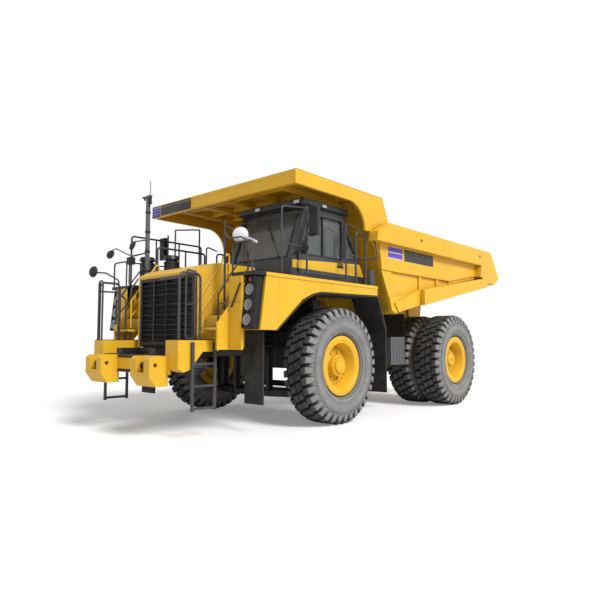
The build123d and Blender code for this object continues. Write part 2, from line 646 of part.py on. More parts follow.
# ---------------------------------------------------------------- hoist cylinders
hoist_top_station, hoist_top_z = 3050.0, 2150.0
hoist_closed = math.hypot(hoist_top_station - hoist_base_station, hoist_top_z - hoist_base_z)
lift = math.radians(bed_lift_deg)
arm_y, arm_h = hoist_top_station - pivot_station, hoist_top_z - pivot_z
raised_y = arm_y * math.cos(lift) + arm_h * math.sin(lift) + pivot_station
raised_z = -arm_y * math.sin(lift) + arm_h * math.cos(lift) + pivot_z
hoist_open = math.hypot(raised_y - hoist_base_station, raised_z - hoist_base_z)
hoist_turn = math.degrees(math.atan2(raised_z - hoist_base_z, raised_y - hoist_base_station)
                          - math.atan2(hoist_top_z - hoist_base_z, hoist_top_station - hoist_base_station))
stage_travel = (hoist_open - hoist_closed) / 2
print("hoist: closed", hoist_closed, "travel per stage", stage_travel, "turn", hoist_turn)
for side, name in sides:
    x = side * hoist_x
    z = hoist_base_z
    with BuildPart() as hoist_barrel:
        rod((x, hoist_base_station, z + 60), (x, hoist_base_station, z + 1010), 98)
        disc(x - 75, x + 75, hoist_base_station, z, 90)
        disc(x - 80, x + 80, hoist_base_station, z, 50 + pin_gap, Mode.SUBTRACT)
        rod((x, hoist_base_station, z + 110), (x, hoist_base_station, z + 1020), 80, Mode.SUBTRACT)
    save(hoist_barrel.part, f"hoist_barrel_{name}")
    with BuildPart() as hoist_stage:
        rod((x, hoist_base_station, z + 125), (x, hoist_base_station, z + 1050), 79)
        rod((x, hoist_base_station, z + 150), (x, hoist_base_station, z + 1060), 60, Mode.SUBTRACT)
    save(hoist_stage.part, f"hoist_stage_{name}")
    with BuildPart() as hoist_rod:
        rod((x, hoist_base_station, z + 165), (x, hoist_base_station, hoist_top_z - 40), 59)
        disc(x - 60, x + 60, hoist_top_station, hoist_top_z, 66)
    save(hoist_rod.part, f"hoist_rod_{name}")
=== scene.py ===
"""Looks of the rigid mining dump truck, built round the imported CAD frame.

Row frame: +X is the truck's left, +Y its rear, +Z up, origin on the ground under its middle.
Forms are given in millimetres as (x, station, z); a station is a distance behind the front axle.
"""

import json
import math

import bmesh
import bpy
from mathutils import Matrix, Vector


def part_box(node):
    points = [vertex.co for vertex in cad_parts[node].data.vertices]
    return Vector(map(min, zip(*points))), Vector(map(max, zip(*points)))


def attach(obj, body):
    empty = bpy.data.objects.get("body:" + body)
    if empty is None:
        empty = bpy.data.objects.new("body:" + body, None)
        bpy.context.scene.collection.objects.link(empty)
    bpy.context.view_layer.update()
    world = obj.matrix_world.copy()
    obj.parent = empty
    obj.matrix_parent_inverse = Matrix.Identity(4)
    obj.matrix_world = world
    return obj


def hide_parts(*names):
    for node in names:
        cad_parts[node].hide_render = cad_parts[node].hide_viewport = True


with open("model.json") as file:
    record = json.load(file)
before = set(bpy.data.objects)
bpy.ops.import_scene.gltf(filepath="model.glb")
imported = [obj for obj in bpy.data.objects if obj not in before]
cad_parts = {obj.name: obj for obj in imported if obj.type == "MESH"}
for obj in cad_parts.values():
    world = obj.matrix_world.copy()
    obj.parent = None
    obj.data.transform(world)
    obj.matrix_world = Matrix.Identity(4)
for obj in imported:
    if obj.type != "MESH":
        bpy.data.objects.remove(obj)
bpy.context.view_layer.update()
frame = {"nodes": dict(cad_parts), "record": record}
nodes = frame["nodes"]

MM = 0.001


def box_mm(node):
    """Lowest and highest corner of a CAD node in millimetres."""
    low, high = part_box(node)
    return [v / MM for v in low], [v / MM for v in high]


def middle_mm(node, axis):
    """Middle of a CAD node's box along an axis, in millimetres."""
    return sum(corner[axis] for corner in box_mm(node)) / 2


AXLE_Y = middle_mm("front_tyre_left", 1)
AXLE_Z = middle_mm("front_tyre_left", 2)
WHEELBASE = middle_mm("rear_tyres_left", 1) - AXLE_Y
DECK_Z = box_mm("deck")[1][2]
PLATFORM_Z = box_mm("bumper")[1][2]
SIDES = ((1, "left"), (-1, "right"))

# ---- colours, linear
YELLOW = (0.76, 0.435, 0.022)
BLACK = (0.010, 0.010, 0.011)
GREY = (0.10, 0.105, 0.11)
RAIL_GREY = (0.050, 0.052, 0.056)
CAB_GREY = (0.040, 0.043, 0.047)
DUST = (0.40, 0.35, 0.28)
VIOLET = (0.085, 0.050, 0.42)
CHARCOAL = (0.020, 0.020, 0.022)
PALE = (0.55, 0.52, 0.60)
LENS_RED = (0.42, 0.02, 0.01)
TYRE_FLANK, TYRE_TREAD = (0.215, 0.215, 0.213), (0.030, 0.030, 0.030)


# ---- materials
def new_material(name):
    """An empty node material with its Principled shader."""
    made = bpy.data.materials.new(name)
    made.use_nodes = True
    return made, made.node_tree, made.node_tree.nodes["Principled BSDF"]


def feed(tree, socket, value):
    """Gives a socket a value, a colour or a link."""
    if isinstance(value, bpy.types.NodeSocket):
        tree.links.new(value, socket)
    else:
        socket.default_value = (*value, 1) if socket.type == "RGBA" else value


def put(tree, node, **inputs):
    """Feeds a node's inputs by name; an underscore stands for a space."""
    for name, value in inputs.items():
        feed(tree, node.inputs[name.replace("_", " ")], value)


def add(tree, kind, **inputs):
    """A new node with its inputs fed."""
    made = tree.nodes.new("ShaderNode" + kind)
    put(tree, made, **inputs)
    return made


def own_place(tree):
    """The piece's own coordinates, so that a pattern rides with it."""
    return add(tree, "TexCoord").outputs["Object"]


def noise(tree, scale, detail=4.0, roughness=0.55, stretch=(1, 1, 1)):
    """Noise that rides with the piece; stretch scales its three directions."""
    place = add(tree, "Mapping", Vector=own_place(tree), Scale=stretch).outputs["Vector"]
    return add(tree, "TexNoise", Vector=place, Scale=scale, Detail=detail, Roughness=roughness).outputs["Fac"]


def ramp(tree, value, stops):
    """A colour ramp: stops are (place, colour)."""
    made = add(tree, "ValToRGB", Fac=value)
    elements = made.color_ramp.elements
    while len(elements) < len(stops):
        elements.new(0.5)
    for element, (place, colour) in zip(elements, stops):
        element.position = place
        element.color = (*colour, 1)
    return made.outputs["Color"]


def math_node(tree, operation, first, second):
    """A sum of two values or sockets; a product is kept between 0 and 1."""
    made = add(tree, "Math")
    made.operation = operation
    made.use_clamp = operation == "MULTIPLY"
    for socket, value in zip(made.inputs, (first, second)):
        feed(tree, socket, value)
    return made.outputs[0]


def mix(tree, factor, first, second):
    """Mixes two colours; either may be a socket."""
    made = add(tree, "Mix")
    made.data_type = "RGBA"
    for i, value in ((0, factor), (6, first), (7, second)):
        feed(tree, made.inputs[i], value)
    return made.outputs[2]


def bump(tree, shader, height, strength, distance):
    """Fine relief of the surface."""
    made = add(tree, "Bump", Height=height, Strength=strength, Distance=distance)
    put(tree, shader, Normal=made.outputs["Normal"])


def shade(colour, factor):
    """The colour made darker or lighter."""
    return tuple(min(1.0, c * factor) for c in colour)


def crevices(tree, reach):
    """How deep in a corner a point lies, from 0 in the open to 1; it weights the painted shade in corners."""
    made = add(tree, "AmbientOcclusion", Distance=reach)
    made.samples = 6
    return math_node(tree, "SUBTRACT", 1.0, made.outputs["AO"])


def enamel(name, colour, rough=0.42, coat=0.06, spread=0.10, painted_corner_shade=0.55, band=None):
    """Sprayed enamel with a change of tone over each panel, run-off streaks, and painted shade darkening the corners.

    band is (colour, front z, rise per metre aft, lowest z, foremost y): the paint below that line on a cab.
    """
    made, tree, shader = new_material(name)
    base = ramp(tree, noise(tree, 1.3, 5), [(0.25, shade(colour, 1 - spread)), (0.75, shade(colour, 1 + spread / 2))])
    if band:
        below, z, rise, low, fore = band
        place = add(tree, "SeparateXYZ", Vector=own_place(tree)).outputs
        line = math_node(tree, "SUBTRACT", place["Z"], math_node(tree, "DIVIDE", place["Y"], 1 / rise))
        under = math_node(tree, "LESS_THAN", line, z)
        over = math_node(tree, "MULTIPLY", math_node(tree, "GREATER_THAN", place["Z"], low),
                         math_node(tree, "GREATER_THAN", place["Y"], fore))
        tones = ramp(tree, noise(tree, 1.3, 5), [(0.25, shade(below, 1 - spread)), (0.75, shade(below, 1.05))])
        base = mix(tree, math_node(tree, "MULTIPLY", under, over), base, tones)
    streaks = ramp(tree, noise(tree, 3.0, 6, 0.6, (2.2, 2.2, 0.16)), [(0.55, (0, 0, 0)), (0.80, (1, 1, 1))])
    dusty = mix(tree, math_node(tree, "MULTIPLY", streaks, 0.16), base, shade(DUST, 0.85))
    # painted shade: corners and hollows are darkened towards a dark copy of the paint, by ambient occlusion
    corner = math_node(tree, "MULTIPLY", crevices(tree, 0.14), painted_corner_shade)
    rough_map = ramp(tree, noise(tree, 4.0, 6, 0.6), [(0.3, (rough - 0.08,) * 3), (0.7, (rough + 0.14,) * 3)])
    put(tree, shader, Base_Color=mix(tree, corner, dusty, shade(colour, 0.42)), Roughness=rough_map,
        Coat_Weight=coat, Coat_Roughness=0.22, Specular_IOR_Level=0.35)
    bump(tree, shader, noise(tree, 42, 3), 0.06, 0.004)
    return made


def rubber(name, colour, rough=0.85, dust=0.5, grain=60, tread=None):
    """Rubber with dust on it, thick in patches, and painted shade in the corners; tread colours what doesn't face
    sideways.
    """
    made, tree, shader = new_material(name)
    tones = ramp(tree, noise(tree, 5, 8, 0.65), [(0.3, shade(colour, 0.8)), (0.7, shade(colour, 1.2))])
    if tread:
        facing = add(tree, "SeparateXYZ", Vector=add(tree, "TexCoord").outputs["Normal"]).outputs["X"]
        sideways = math_node(tree, "ADD", math_node(tree, "ABSOLUTE", facing, 0),
                             math_node(tree, "MULTIPLY", noise(tree, 7, 6, 0.7), 0.25))
        flank = ramp(tree, sideways, [(0.38, (0, 0, 0)), (0.80, (1, 1, 1))])
        worn = ramp(tree, noise(tree, 11, 7, 0.7), [(0.42, tread), (0.72, shade(tread, 3.2))])
        tones = mix(tree, flank, worn, tones)
    patches = ramp(tree, noise(tree, 2.6, 7, 0.7), [(0.40, (0, 0, 0)), (0.68, (1, 1, 1))])
    dusty = mix(tree, math_node(tree, "MULTIPLY", patches, dust), tones, shade(DUST, 0.75))
    # painted shade: corners and hollows are darkened to a tenth of the rubber's colour, by ambient occlusion
    corner = math_node(tree, "MULTIPLY", crevices(tree, 0.13), 1.6)
    put(tree, shader, Base_Color=mix(tree, corner, dusty, shade(colour, 0.10)), Roughness=rough)
    bump(tree, shader, noise(tree, grain, 5), 0.25, 0.004)
    return made


def metal(name, colour, rough=0.15):
    """Bare bright metal with fine scratches."""
    made, tree, shader = new_material(name)
    tones = ramp(tree, noise(tree, 8, 3), [(0.3, shade(colour, 0.85)), (0.7, colour)])
    scratches = ramp(tree, noise(tree, 30, 4, 0.6, (1, 1, 6)), [(0.3, (rough - 0.06,) * 3), (0.7, (rough + 0.1,) * 3)])
    put(tree, shader, Base_Color=tones, Roughness=scratches, Metallic=1.0)
    return made


def window_glass(name, colour, alpha, rough=0.04):
    """Glass with a thin film of dust."""
    made, tree, shader = new_material(name)
    film = ramp(tree, noise(tree, 2.4, 6, 0.6), [(0.35, shade(colour, 0.8)), (0.75, shade(colour, 1.3))])
    put(tree, shader, Base_Color=film, Roughness=rough, Alpha=alpha, Specular_IOR_Level=0.6)
    return made


def cloth(name, colour):
    """Woven seat cloth."""
    made, tree, shader = new_material(name)
    tones = ramp(tree, noise(tree, 14, 5), [(0.3, shade(colour, 0.8)), (0.7, shade(colour, 1.25))])
    put(tree, shader, Base_Color=tones, Roughness=0.92, Sheen_Weight=0.3)
    weave = add(tree, "TexWave", Vector=own_place(tree), Scale=160, Distortion=0.6)
    bump(tree, shader, weave.outputs["Fac"], 0.25, 0.002)
    return made


# the cab's lower band: colour, upper edge at the row's middle, its rise per metre aft, lower edge, foremost y
CAB_LINE = (YELLOW, 3.081, 0.0553, 2.79, -2.815)
look = {
    "yellow_paint": enamel("yellow_enamel", YELLOW),
    "bed_paint": enamel("bed_enamel", YELLOW, 0.42),
    "black_paint": enamel("black_enamel", BLACK, 0.5, 0.1, 0.3),
    "grey_paint": enamel("grey_enamel", GREY, 0.5, 0.1),
    "steel": enamel("rail_enamel", RAIL_GREY, 0.42, 0.1),
    "cab_paint": enamel("cab_enamel", CAB_GREY, 0.45, 0.15, band=CAB_LINE),
    "cab_dark": enamel("cab_dark_enamel", CAB_GREY, 0.45, 0.15),
    "trim_plastic": enamel("black_plastic", BLACK, 0.55, 0.0, 0.3),
    "interior": enamel("cab_plastic", (0.055, 0.055, 0.052), 0.6, 0.0, 0.2),
    "seat_fabric": cloth("seat_cloth", (0.022, 0.022, 0.026)),
    "glass": window_glass("window_glass", (0.15, 0.165, 0.17), 0.42),
    "lens": window_glass("lamp_glass", (0.28, 0.29, 0.30), 0.5, 0.08),
    "tyre": rubber("tyre_rubber", TYRE_FLANK, dust=0.16, tread=TYRE_TREAD),
    "flap_rubber": rubber("flap_rubber", (0.014, 0.014, 0.014), dust=0.12),
    "rod_chrome": metal("chromed_rod", (0.72, 0.72, 0.74)),
    "reflector": metal("reflector", (0.30, 0.30, 0.31), 0.2),
    "mirror": metal("mirror_glass", (0.62, 0.66, 0.66), 0.10),
    "white": enamel("white_plastic", (0.72, 0.72, 0.72), 0.4, 0.1),
    "violet": enamel("violet_film", VIOLET, 0.4, 0.1, painted_corner_shade=0.2),
    "charcoal": enamel("charcoal_film", CHARCOAL, 0.35, 0.1, painted_corner_shade=0.2),
    "pale": enamel("pale_film", PALE, 0.4, 0.1, painted_corner_shade=0.2),
    "red": enamel("red_lens", LENS_RED, 0.25, 0.3, painted_corner_shade=0.2),
    "hose": rubber("hose_rubber", (0.012, 0.012, 0.012), 0.6, 0.1),
}


# ---- form helpers
def at(x, a, z):
    """Metres in the row frame of a point given as x, station and z."""
    return Vector((x, AXLE_Y + a, z)) * MM


def skin(bm, rings, cap=True):
    """Joins rings of the same count into a closed skin."""
    made = [[bm.verts.new(p) for p in ring] for ring in rings]
    count = len(made[0])
    for near, far in zip(made, made[1:]):
        for i in range(count):
            j = (i + 1) % count
            bm.faces.new((near[i], near[j], far[j], far[i]))
    if cap:
        bm.faces.new(made[0][::-1])
        bm.faces.new(made[-1])


def prism(bm, outline, x0, x1):
    """A side-view outline in (station, z), from x0 to x1."""
    skin(bm, [[at(x, a, z) for a, z in outline] for x in (x0, x1)])


def block(bm, x0, x1, a0, a1, z0, z1):
    """A box between two values of x, station and z."""
    prism(bm, [(a0, z0), (a1, z0), (a1, z1), (a0, z1)], x0, x1)


def round_ring(middle, along, radius, sides):
    """Points round an axis."""
    across = along.orthogonal().normalized()
    up = along.cross(across).normalized()
    return [middle + (across * math.cos(t) + up * math.sin(t)) * radius * MM
            for t in (2 * math.pi * i / sides for i in range(sides))]


def turned(bm, middle, out, profile, sides, cap=True):
    """A skin of rings about an axis; profile gives each ring's distance out and radius."""
    rings = [round_ring(middle + out * d * MM, out, radius, sides) for d, radius in profile]
    skin(bm, rings if cap else rings + [rings[0]], cap)


def rod(bm, start, end, radius, sides=14, tip=None):
    """A round bar between two points given as (x, station, z); tip is its far end's radius."""
    p, q = at(*start), at(*end)
    far = radius if tip is None else tip
    skin(bm, [round_ring(p, q - p, radius, sides), round_ring(q, q - p, far, sides)])


def tube(bm, points, radius, bend, sides=12, steps=6):
    """A bent round tube through points given as (x, station, z)."""
    corners = [at(*p) for p in points]
    path = [corners[0]]
    for before, here, after in zip(corners, corners[1:], corners[2:]):
        to_before, to_after = (before - here).normalized(), (after - here).normalized()
        half = to_before.angle(to_after) / 2
        if abs(half - math.pi / 2) < 0.02:
            continue
        reach = min(bend * MM / math.tan(half), (before - here).length * 0.48, (after - here).length * 0.48)
        centre = here + (to_before + to_after).normalized() * reach / math.cos(half)
        first, last = here + to_before * reach - centre, here + to_after * reach - centre
        turn = first.angle(last)
        for i in range(steps + 1):
            s = i / steps
            path.append(centre + (first * math.sin((1 - s) * turn) + last * math.sin(s * turn)) / math.sin(turn))
    path.append(corners[-1])
    along = (path[1] - path[0]).normalized()
    across = along.orthogonal().normalized()
    rings = []
    for i, point in enumerate(path):
        ahead = (path[min(i + 1, len(path) - 1)] - path[max(i - 1, 0)]).normalized()
        across = (across - ahead * across.dot(ahead)).normalized()
        up = ahead.cross(across)
        rings.append([point + (across * math.cos(t) + up * math.sin(t)) * radius * MM
                      for t in (2 * math.pi * k / sides for k in range(sides))])
    skin(bm, rings)


def lathe(bm, profile, x, station, z, out=1, segments=64):
    """A closed profile of (offset along X, radius), turned about the axle through x, station and z."""
    rings = []
    for offset, radius in profile:
        rings.append([at(x + out * offset, station + radius * math.cos(t), z + radius * math.sin(t))
                      for t in (2 * math.pi * i / segments for i in range(segments))])
    skin(bm, rings + [rings[0]], cap=False)


def bolt(bm, place, out, radius, height):
    """A hexagon head on a washer; place is (x, station, z), out a direction in row axes."""
    out = Vector(out).normalized()
    foot = at(*place)
    turned(bm, foot, out, ((0, radius * 1.25), (height * 0.3, radius * 1.25)), 12)
    turned(bm, foot, out, ((0, radius), (height * 0.9, radius), (height, radius * 0.84)), 6)


def piece(name, bm, material, body="chassis", bevel=0.0, replaces=(), sharp=35):
    """Turns a bmesh into a piece that rides on a body."""
    bmesh.ops.remove_doubles(bm, verts=bm.verts, dist=1e-7)
    bmesh.ops.recalc_face_normals(bm, faces=bm.faces)
    mesh = bpy.data.meshes.new(name)
    bm.to_mesh(mesh)
    bm.free()
    for polygon in mesh.polygons:
        polygon.use_smooth = True
    mesh.set_sharp_from_angle(angle=math.radians(sharp))
    mesh.materials.append(look[material])
    made = bpy.data.objects.new(name, mesh)
    bpy.context.scene.collection.objects.link(made)
    if bevel:
        soften(made, bevel)
    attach(made, body)
    if replaces:
        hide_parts(*replaces)
    return made


def soften(made, width):
    """Rounds a piece's edges a little, so that they catch the light."""
    edge = made.modifiers.new("edges", "BEVEL")
    edge.width = width * MM
    edge.segments = 2
    edge.limit_method = "ANGLE"
    edge.angle_limit = math.radians(38)
    edge.harden_normals = True


new = bmesh.new

# ---- CAD nodes that keep their shape
for part in frame["record"]["subparts"]:
    node = nodes[part["node"]]
    node.data.materials.clear()
    node.data.materials.append(look[part["material_slot"]])

# ---- tyres
PITCHES = 36
TYRE_HALF = (box_mm("front_tyre_left")[1][0] - box_mm("front_tyre_left")[0][0]) / 2
TYRE_R = AXLE_Z
SHOULDER_LUG = [  # offset from the tyre's middle, radius, half width and lean of a lug, in degrees
    (150, TYRE_R, 3.3, 1.4), (196, TYRE_R - 1, 3.3, 0.6), (252, TYRE_R - 18, 3.2, 0.0), (281, TYRE_R - 50, 3.0, 0.0),
    (299, TYRE_R - 105, 2.7, 0.0), (309, TYRE_R - 172, 2.1, 0.0)]
MIDDLE_LUG = [(12, TYRE_R, 3.4, 7.0), (66, TYRE_R, 3.6, 5.8), (126, TYRE_R, 3.4, 4.4)]
HALF_CARCASS = [(0, 998), (60, 996), (205, 980), (255, 958), (280, 930), (300, 895), (311, 850), (316, 800), (316, 745),
                (312, 690), (296, 632), (262, 590), (226, 563), (201, 553), (189, 444.6)]
CARCASS = [(-offset, radius) for offset, radius in HALF_CARCASS[:0:-1]] + HALF_CARCASS


def tyre(bm, lugs, x, station):
    """A rock tyre: carcass with its sidewall rings, and two rows of lugs on each half, staggered."""
    lathe(bm, CARCASS, x, station, AXLE_Z, segments=96)
    for side in (1, -1):
        for radius, wide, high in ((606, 5, 5), (668, 7, 4), (700, 4, 3), (832, 8, 4), (868, 4, 3)):
            depth = 262 + 34 * (radius - 590) / 42 if radius < 632 else 296 + 16 * min(1, (radius - 632) / 58)
            if radius > 745:
                depth = 316 - 5 * max(0, radius - 800) / 50
            lathe(bm, [(depth - 6, radius - wide), (depth + high, radius - wide / 2), (depth + high, radius + wide / 2),
                       (depth - 6, radius + wide)], x, station, AXLE_Z, out=side, segments=96)
        for i in range(PITCHES):
            middle = (i + (0.25 if side > 0 else 0.75)) * 360 / PITCHES
            for line in (SHOULDER_LUG, MIDDLE_LUG):
                skin(lugs, [lug_ring(x, station, side, middle, *spot) for spot in line])


def lug_ring(x, station, side, middle, offset, radius, half, lean):
    """One section across a lug: foot, chamfered top, foot."""
    foot = max(radius - 84, 890) if offset < 290 else radius - 26
    ring = []
    for turn, r in ((-half - 0.7, foot), (-half, radius - 7), (-half + 0.45, radius),
                    (half - 0.45, radius), (half, radius - 7), (half + 0.7, foot)):
        angle = math.radians(middle + side * lean + turn)
        u = offset - 22 if offset > 290 and r == foot else offset
        ring.append(at(x + side * u, station + r * math.cos(angle), AXLE_Z + r * math.sin(angle)))
    return ring


for side, name in SIDES:
    for label, wheel, station, count in (("front_tyre", "wheel_front", 0, 1),
                                         ("rear_tyres", "wheels_rear", WHEELBASE, 2)):
        node, body = f"{label}_{name}", f"{wheel}_{name}"
        low, high = box_mm(node)
        bm, lugs = new(), new()
        for x in (low[0] + TYRE_HALF, high[0] - TYRE_HALF)[:count]:
            tyre(bm, lugs, x, station)
        piece(f"{label}_carcass_{name}", bm, "tyre", body, replaces=[node], sharp=28)
        piece(f"{label}_lugs_{name}", lugs, "tyre", body, sharp=28)

# ---- rims: bolts, lock rings, hubs
RIM_HALF, TYRE_MIDDLE_IN = 235, 320
FRONT_DISC_IN, REAR_DISC_IN = 190, 260  # how far a disc's face lies inside its rim's edge
REAR_HUB_OUT = 110
LOCK_RING = [(233, 452), (246, 470), (246, 540), (240, 549), (232, 540), (228, 470)]


def bolt_circle(bm, x, station, side, count, circle, radius, height, turn=0.0):
    """Bolts on a circle round an axle, their heads pointing out."""
    for i in range(count):
        t = math.radians(i * 360 / count + turn)
        bolt(bm, (x, station + circle * math.cos(t), AXLE_Z + circle * math.sin(t)), (side, 0, 0), radius, height)


for side, name in SIDES:
    tyre_mid = middle_mm(f"front_tyre_{name}", 0)
    face = tyre_mid + side * (RIM_HALF - FRONT_DISC_IN)
    wheel = f"wheel_front_{name}"
    bm = new()
    bolt_circle(bm, face, 0, side, 24, 336, 13, 26)
    bolt_circle(bm, face + side * 130, 0, side, 12, 160, 11, 18, turn=10)
    for i in range(8):
        t = math.radians(i * 45 + 22.5)
        a, z = 262 * math.cos(t), AXLE_Z + 262 * math.sin(t)
        rod(bm, (face - side * 2, a, z), (face + side * 34, a, z), 26, 20, 22)
    bolt_circle(bm, face + side * 165, 0, side, 6, 98, 8, 12)
    piece(f"front_wheel_bolts_{name}", bm, "yellow_paint", wheel, bevel=1.5)
    bm = new()
    for profile in (LOCK_RING, [(45, 404), (60, 410), (60, 424), (45, 428), (40, 416)],
                    [(45, 196), (75, 196), (62, 214), (45, 222)]):
        lathe(bm, profile, tyre_mid, 0, AXLE_Z, side, 96)
    piece(f"front_lock_ring_{name}", bm, "yellow_paint", wheel)
    bm = new()
    rod(bm, (face + side * 20, 395, AXLE_Z), (face + side * 150, 412, AXLE_Z), 9, 10, 7)
    piece(f"front_valve_{name}", bm, "rod_chrome", wheel)

    outer_mid = box_mm(f"rear_tyres_{name}")[1 if side > 0 else 0][0] - side * TYRE_MIDDLE_IN
    face = outer_mid + side * (RIM_HALF - REAR_DISC_IN)
    wheel = f"wheels_rear_{name}"
    hub = outer_mid + side * REAR_HUB_OUT
    bm = new()
    bolt_circle(bm, face, WHEELBASE, side, 20, 330, 13, 26)
    bolt_circle(bm, hub, WHEELBASE, side, 16, 205, 10, 16)
    piece(f"rear_wheel_bolts_{name}", bm, "yellow_paint", wheel, bevel=1.5)
    bm = new()
    for profile, segments in ((LOCK_RING, 96),
                              ([(105, 30), (150, 30), (158, 120), (140, 150), (112, 165), (105, 165)], 64),
                              ([(-25, 350), (-8, 356), (-8, 372), (-25, 380)], 96)):
        lathe(bm, profile, outer_mid, WHEELBASE, AXLE_Z, side, segments)
    piece(f"rear_lock_ring_{name}", bm, "yellow_paint", wheel)

# ---- bed side details
PANEL_X, RAIL_X, SHEET_X = 2145, 2297, 2095  # outer faces of the upper panel, the top rail and the side sheet
STRIPES_A, PLATE_A = (1382, 1940), (2015, 3290)  # stations that the stripes and the blank plate span
LIFTING_HOLES_A, LIFTING_HOLES_Z = (2500, 5539), 3687


def film(name, bm, material, body):
    """A thin decal."""
    return piece(name, bm, material, body)


def on_floor(station):
    """Underside of the bed's floor at a station."""
    return 2095 + 915 * (station - 1560) / 4880


for side, name in SIDES:
    x = side * PANEL_X
    # stripes and blank plate
    bm = new()
    for z in (3222, 3340):
        block(bm, x - side * 2, x + side * 2, *STRIPES_A, z, z + 96)
    film(f"bed_stripes_{name}", bm, "violet", "bed")
    bm = new()
    for z0, z1 in ((3200, 3222), (3318, 3340), (3436, 3448)):
        block(bm, x - side * 2, x + side * 1.4, *STRIPES_A, z0, z1)
    film(f"bed_stripe_lines_{name}", bm, "pale", "bed")
    bm = new()
    block(bm, x - side * 2, x + side * 2, *PLATE_A, 3200, 3448)
    film(f"bed_plate_{name}", bm, "charcoal", "bed")
    # weld beads, and rings round the lifting holes
    bm = new()
    tube(bm, [(x, 1075, 3466), (x, 5636, 3466)], 7, 5, 8)
    tube(bm, [(x, 1150, 2944), (x, 4100, 2944), (x, 5556, 3192)], 6, 5, 8)
    edge_x = side * (RAIL_X - 6)
    tube(bm, [(edge_x, 800, 3640), (edge_x, 1190, 3862), (edge_x, 6225, 3862), (edge_x, 6512, 3514)], 6, 8, 8)
    for a in LIFTING_HOLES_A:
        lathe(bm, [(-6, 34), (6.3, 34), (6.3, 52), (-6, 52)], edge_x, a, LIFTING_HOLES_Z, side, 32)
    piece(f"bed_welds_{name}", bm, "bed_paint", "bed")
    bm = new()
    # black discs in the lifting holes: painted shade standing for the dark inside each hole
    for a in LIFTING_HOLES_A:
        rod(bm, (side * (RAIL_X - 8), a, LIFTING_HOLES_Z), (side * (RAIL_X + 0.6), a, LIFTING_HOLES_Z), 34, 28)
    piece(f"bed_lifting_hole_shade_{name}", bm, "black_paint", "bed")
    bm = new()
    # front flange and lower chine stepping out under the panel
    chine = [(2610, on_floor(2610) + 342), (2580, on_floor(2580) + 4), (1720, on_floor(1720) - 20),
             (1560, on_floor(1560) + 190)]
    for outline, depth in (([(1150, 2938), (1520, 2938), (1640, 2590), (1600, 2300), (1480, 2290)], 34), (chine, 92),
                           ([(4060, 2935), (5545, 3186), (5560, 3120), (4120, 2868)], 26)):
        prism(bm, outline, side * (SHEET_X - 3), side * (SHEET_X + depth))
    for a in (2650, 3450, 4250, 5050):
        z0, z1 = on_floor(a) + 300, 2944 if a < 4100 else 2944 + (a - 4100) * 0.17
        if z1 - z0 > 60:
            prism(bm, [(a, z0), (a + 70, z0 + 12), (a + 70, z1), (a, z1)], side * (SHEET_X - 3), side * (SHEET_X + 40))
    piece(f"bed_ribs_{name}", bm, "bed_paint", "bed", bevel=5)

bm = new()
for i in range(9):
    # cross beams under the bed's floor
    a = 2060 + i * 500
    z = on_floor(a)
    beam = [(a, z + 4), (a + 30, z - 66), (a + 110, z - 52), (a + 140, on_floor(a + 140) + 4)]
    for side in (-1, 1):
        prism(bm, beam, side * 1050, side * 1900)
piece("bed_cross_beams", bm, "bed_paint", "bed", bevel=3)

# ---- headboard, canopy
low, high = box_mm("bed_canopy")
CANOPY_A = low[1] - AXLE_Y
CANOPY_Z = high[2]
bm = new()
for z in (222, 156, 90):
    block(bm, -2080, -1795, CANOPY_A - 2.2, CANOPY_A + 2, CANOPY_Z - z, CANOPY_Z - z + 46)
film("canopy_stripes", bm, "violet", "bed")
bm = new()
for z in (176, 110, 44):
    block(bm, -2080, -1795, CANOPY_A - 1.6, CANOPY_A + 2, CANOPY_Z - z, CANOPY_Z - z + 8)
film("canopy_stripe_lines", bm, "pale", "bed")
bm = new()
block(bm, -2086, -1792, CANOPY_A - 1.0, CANOPY_A + 2, CANOPY_Z - 246, CANOPY_Z - 12)
block(bm, -1770, -735, CANOPY_A - 2.2, CANOPY_A + 2, CANOPY_Z - 236, CANOPY_Z - 14)
film("canopy_plate", bm, "charcoal", "bed")
bm = new()
for side in (1, -1):
    tube(bm, [(side * 2093, a, CANOPY_Z - 3) for a in (CANOPY_A + 2, 1270)], 6, 5, 8)
    tube(bm, [(side * 2035, a, CANOPY_Z - 62) for a in (CANOPY_A + 100, 600)], 9, 5, 8)
tube(bm, [(-2090, CANOPY_A + 2, CANOPY_Z - 55), (2090, CANOPY_A + 2, CANOPY_Z - 55)], 6, 5, 8)
for x in range(-1050, 1051, 700):
    # cross ties between the roof's ribs
    for a in (-900, -300, 300):
        block(bm, x - 340, x + 340, a - 14, a + 14, CANOPY_Z - 150, CANOPY_Z - 58)
# uprights in front of the headboard
for x in (-1350, -450, 450, 1350):
    prism(bm, [(1500, 2290), (1000, 3500), (800, 3660), (780, 4330), (834, 4330), (845, 3640), (1018, 3600),
               (1560, 2290)], x - 55, x + 55)
piece("canopy_ribs", bm, "bed_paint", "bed", bevel=4)

